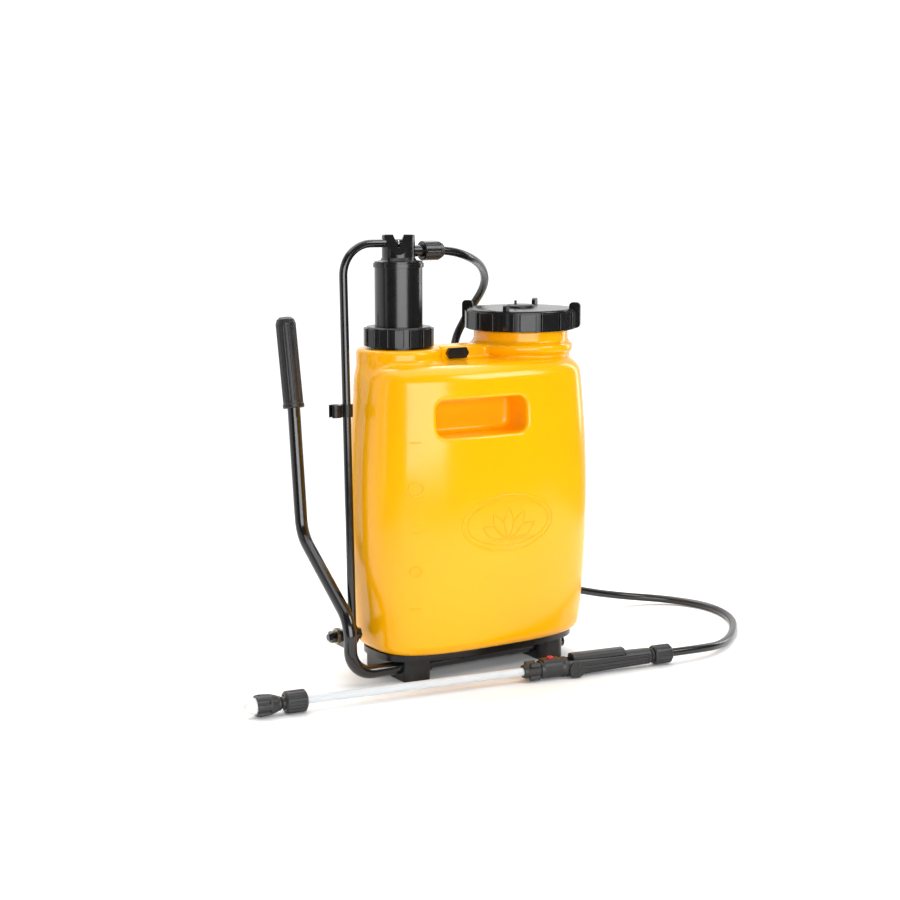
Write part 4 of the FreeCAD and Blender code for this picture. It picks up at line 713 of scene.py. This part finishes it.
class SPRAYER_OT_pads(bpy.types.Operator):
    """Make the foam shoulder pads with their stitched channels and sewn edge"""
    bl_idname = "sprayer.pads"
    bl_label = "Shoulder pads"

    def execute(self, context):
        sizes = context.scene.sprayer_sizes
        half, thick = sizes.pad_width / 2, sizes.pad_thickness
        stretch = [p for p in evenly(spline_line(STRAP_PATH), 400) if PAD_Z[0] < p.z < PAD_Z[1]]
        line = evenly(stretch, 70)
        base = sizes.webbing_thickness / 2 + 0.0004

        def cushion(share):
            """Crowned foam with rounded ends, three lengthwise puffs and a flat sewn edge."""
            end = min(share, 1 - share) / 0.09
            shape = math.sqrt(max(0.0, 1 - (1 - min(end, 1.0)) ** 2)) * 0.97 + 0.03
            wide = half * (0.55 + 0.45 * shape)
            outer, inner = [], []
            for t in np.linspace(-1, 1, 29):
                crown = (1 - abs(t) ** 3.2) ** 0.6
                puff = 0.72 + 0.28 * abs(math.cos(1.5 * math.pi * t))
                outer.append((wide * t, base + 0.0012 + thick * 0.86 * crown * puff * shape))
                inner.append((wide * t, base + 0.0002))
            return outer + inner[::-1]

        for side, top_x, lean in STRAP_SIDES:
            mesh = band_along(side + "_pad", line, cushion, (top_x, lean))
            piece = place_piece(side + "_pad", mesh, "woven_nylon_cover", "tank", [side + "_strap_pad"])
            smooth = piece.modifiers.new("rounding", "SUBSURF")
            smooth.levels = smooth.render_levels = 1
        return {"FINISHED"}


class SPRAYER_OT_stitches(bpy.types.Operator):
    """Sew the pads to the webbing with rows of raised thread"""
    bl_idname = "sprayer.stitches"
    bl_label = "Pad stitches"

    def execute(self, context):
        sizes = context.scene.sprayer_sizes
        stretch = [p for p in evenly(spline_line(STRAP_PATH), 400) if PAD_Z[0] + 0.012 < p.z < PAD_Z[1] - 0.012]
        length = along(stretch)[-1]
        count = int(length / (sizes.stitch_length * 1.35))
        line = evenly(stretch, count)
        ways = directions(line)
        rise = sizes.webbing_thickness / 2 + 0.0004
        for side, top_x, lean in STRAP_SIDES:
            whole = bmesh.new()
            for across, lift in ((-0.333, 0.72), (0.333, 0.72)):
                for point, way in zip(line, ways):
                    out = Vector((0, way.z, -way.y)) * -1.0
                    crown = (1 - abs(across) ** 3.2) ** 0.6
                    seat = rise + 0.0012 + sizes.pad_thickness * 0.86 * crown * lift + 0.0001
                    middle = point + Vector((across * sizes.pad_width / 2, 0, 0)) + out * seat
                    ends = [middle + way * sizes.stitch_length * t for t in np.linspace(-0.5, 0.5, 6)]
                    rings = []
                    for t, place in zip(np.linspace(-1, 1, 6), ends):
                        thread = 0.00045 * math.sqrt(max(0.05, 1 - t * t))
                        ring = []
                        for j in range(8):
                            angle = 2 * math.pi * j / 8
                            spread = Vector((math.cos(angle), 0, 0)) + out * math.sin(angle)
                            ring.append(leaned(place + spread * thread, top_x, lean))
                        rings.append(ring)
                    mesh = skin_from_rings("stitch", rings)
                    whole.from_mesh(mesh)
                    bpy.data.meshes.remove(mesh)
            mesh = bpy.data.meshes.new(side + "_pad_stitches")
            whole.to_mesh(mesh)
            whole.free()
            place_piece(side + "_pad_stitches", mesh, "woven_polypropylene_webbing", "tank")
        return {"FINISHED"}


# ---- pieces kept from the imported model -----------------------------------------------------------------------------
SLOT_FINISH = {
    "tank": "blow_moulded_polyethylene",
    "black_plastic": "moulded_polypropylene",
    "wand_plastic": "textured_nylon",
    "black_steel": "powder_coated_steel",
    "zinc_steel": "zinc_plated_steel",
    "steel_ball": "ground_steel",
    "grip_rubber": "moulded_rubber",
    "hose": "extruded_pvc_hose",
    "webbing": "woven_polypropylene_webbing",
    "pad_fabric": "woven_nylon_cover",
    "white_plastic": "machined_acetal",
    "clear_lance": "extruded_natural_polypropylene",
    "red_plastic": "moulded_acetal",
}
NODE_FINISH = {
    "air_chamber": "moulded_nylon",
    "chamber_head": "moulded_nylon",
    "nozzle_nut": "textured_nylon",
    "hose_nut": "textured_nylon",
    "lance_nut": "textured_nylon",
    "nozzle_cap": "textured_nylon",
    "rod_split_pin": "ground_steel",
    "axle_clip": "powder_coated_steel",
}


class SPRAYER_OT_hardware(bpy.types.Operator):
    """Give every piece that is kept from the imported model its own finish"""
    bl_idname = "sprayer.hardware"
    bl_label = "Hardware finishes"

    def execute(self, context):
        slots = {entry["node"]: entry["material_slot"] for entry in frame["record"]["subparts"]}
        for node, piece in frame["nodes"].items():
            name = NODE_FINISH.get(node, SLOT_FINISH[slots[node]])
            if not piece.material_slots:
                piece.data.materials.append(finish(name))
            for place in piece.material_slots:
                place.material = finish(name)
        return {"FINISHED"}


# ---- stage ----------------------------------------------------------------------------------------------------------
CAMERA_PLACE = (-1.1177, -1.7641, 0.5925)
CAMERA_TURN = (31.7, 8.8)       # degrees right of +Y, and degrees down
CAMERA_LENS = 68.0
ROOM_GLOW = 0.12
BACKDROP_GLOW = 1.15
FLOOR_HALF = 1.0


def soft_light(name, place, target, size, power):
    """A large square softbox that faces a target."""
    lamp = bpy.data.lights.new(name, "AREA")
    lamp.shape = "RECTANGLE"
    lamp.size, lamp.size_y = size
    lamp.energy = power
    holder = bpy.data.objects.new(name, lamp)
    holder.location = place
    holder.rotation_euler = (Vector(target) - Vector(place)).to_track_quat("-Z", "Y").to_euler()
    bpy.context.scene.collection.objects.link(holder)
    return holder


def studio_air():
    """The studio's own light: a white backdrop beyond the part, and a dim room behind the camera."""
    world = bpy.data.worlds.new("studio")
    world.use_nodes = True
    tree = world.node_tree
    tree.nodes.clear()
    place = add(tree, "TexCoord")
    parts = add(tree, "SeparateXYZ", links={"Vector": place.outputs["Generated"]})
    glow = add(tree, "MapRange", {"From Min": 0.0, "From Max": 0.55, "To Min": ROOM_GLOW, "To Max": BACKDROP_GLOW},
               {"Value": parts.outputs["Y"]})
    air = add(tree, "Background", {"Color": (1, 1, 1, 1)}, {"Strength": glow.outputs["Result"]})
    add(tree, "OutputWorld", links={"Surface": air.outputs["Background"]})
    return world


class SPRAYER_OT_stage(bpy.types.Operator):
    """Set up the pale floor, the soft lights and the camera"""
    bl_idname = "sprayer.stage"
    bl_label = "Studio stage"

    def execute(self, context):
        scene = context.scene
        camera = bpy.data.objects.new("camera", bpy.data.cameras.new("camera"))
        camera.data.lens = CAMERA_LENS
        camera.data.sensor_width = 36.0
        camera.location = CAMERA_PLACE
        turn, dip = (math.radians(a) for a in CAMERA_TURN)
        view = Vector((math.sin(turn) * math.cos(dip), math.cos(turn) * math.cos(dip), -math.sin(dip)))
        camera.rotation_euler = view.to_track_quat("-Z", "Y").to_euler()
        scene.collection.objects.link(camera)
        scene.camera = camera

        floor_bm = bmesh.new()
        bmesh.ops.create_grid(floor_bm, x_segments=24, y_segments=24, size=FLOOR_HALF)
        mesh = bpy.data.meshes.new("floor")
        floor_bm.to_mesh(mesh)
        floor_bm.free()
        mesh.materials.append(finish("seamless_paper"))
        floor = bpy.data.objects.new("floor", mesh)
        scene.collection.objects.link(floor)

        scene.world = studio_air()
        scene.view_settings.view_transform = "Standard"
        soft_light("key_softbox", (1.2, -1.45, 1.75), (0, 0, 0.22), (0.9, 0.9), 20)
        soft_light("front_softbox", (-0.62, -2.3, 0.65), (0, 0, 0.35), (2.2, 1.2), 46)
        soft_light("top_softbox", (0.0, 0.25, 2.1), (0, 0.25, 0), (2.2, 2.2), 30)
        soft_light("backdrop_softbox", (0.5, 1.25, 1.6), (0.5, 1.0, 0), (1.8, 1.2), 20)
        soft_light("left_strip", (-1.7, 0.1, 0.7), (-0.1, 0, 0.3), (0.25, 1.4), 1.5)
        soft_light("right_strip", (1.7, 0.2, 0.8), (0, 0, 0.3), (0.3, 1.4), 6)
        return {"FINISHED"}


class SPRAYER_PT_panel(bpy.types.Panel):
    """Lists the sprayer's pieces, sizes and colours"""
    bl_label = "Backpack Sprayer"
    bl_idname = "SPRAYER_PT_panel"
    bl_space_type = "VIEW_3D"
    bl_region_type = "UI"
    bl_category = "Sprayer"

    def draw(self, context):
        for group in (context.scene.sprayer_sizes, context.scene.sprayer_colours):
            column = self.layout.column(align=True)
            for name in group.bl_rna.properties.keys():
                if name not in ("rna_type", "name"):
                    column.prop(group, name)
        column = self.layout.column(align=True)
        for operator in OPERATORS:
            column.operator(operator.bl_idname)


GROUPS = (SprayerSizes, SprayerColours)
OPERATORS = (
    SPRAYER_OT_stage, SPRAYER_OT_hoses, SPRAYER_OT_tank, SPRAYER_OT_marks, SPRAYER_OT_straps, SPRAYER_OT_pads,
    SPRAYER_OT_stitches, SPRAYER_OT_hardware,
)


def register():
    for made in (*GROUPS, *OPERATORS, SPRAYER_PT_panel):
        bpy.utils.register_class(made)
    bpy.types.Scene.sprayer_sizes = bpy.props.PointerProperty(type=SprayerSizes)
    bpy.types.Scene.sprayer_colours = bpy.props.PointerProperty(type=SprayerColours)


def unregister():
    del bpy.types.Scene.sprayer_colours
    del bpy.types.Scene.sprayer_sizes
    for made in reversed((*GROUPS, *OPERATORS, SPRAYER_PT_panel)):
        bpy.utils.unregister_class(made)


def main():
    register()
    for operator in OPERATORS:
        group, name = operator.bl_idname.split(".")
        getattr(getattr(bpy.ops, group), name)()


if __name__ == "__main__":
    main()
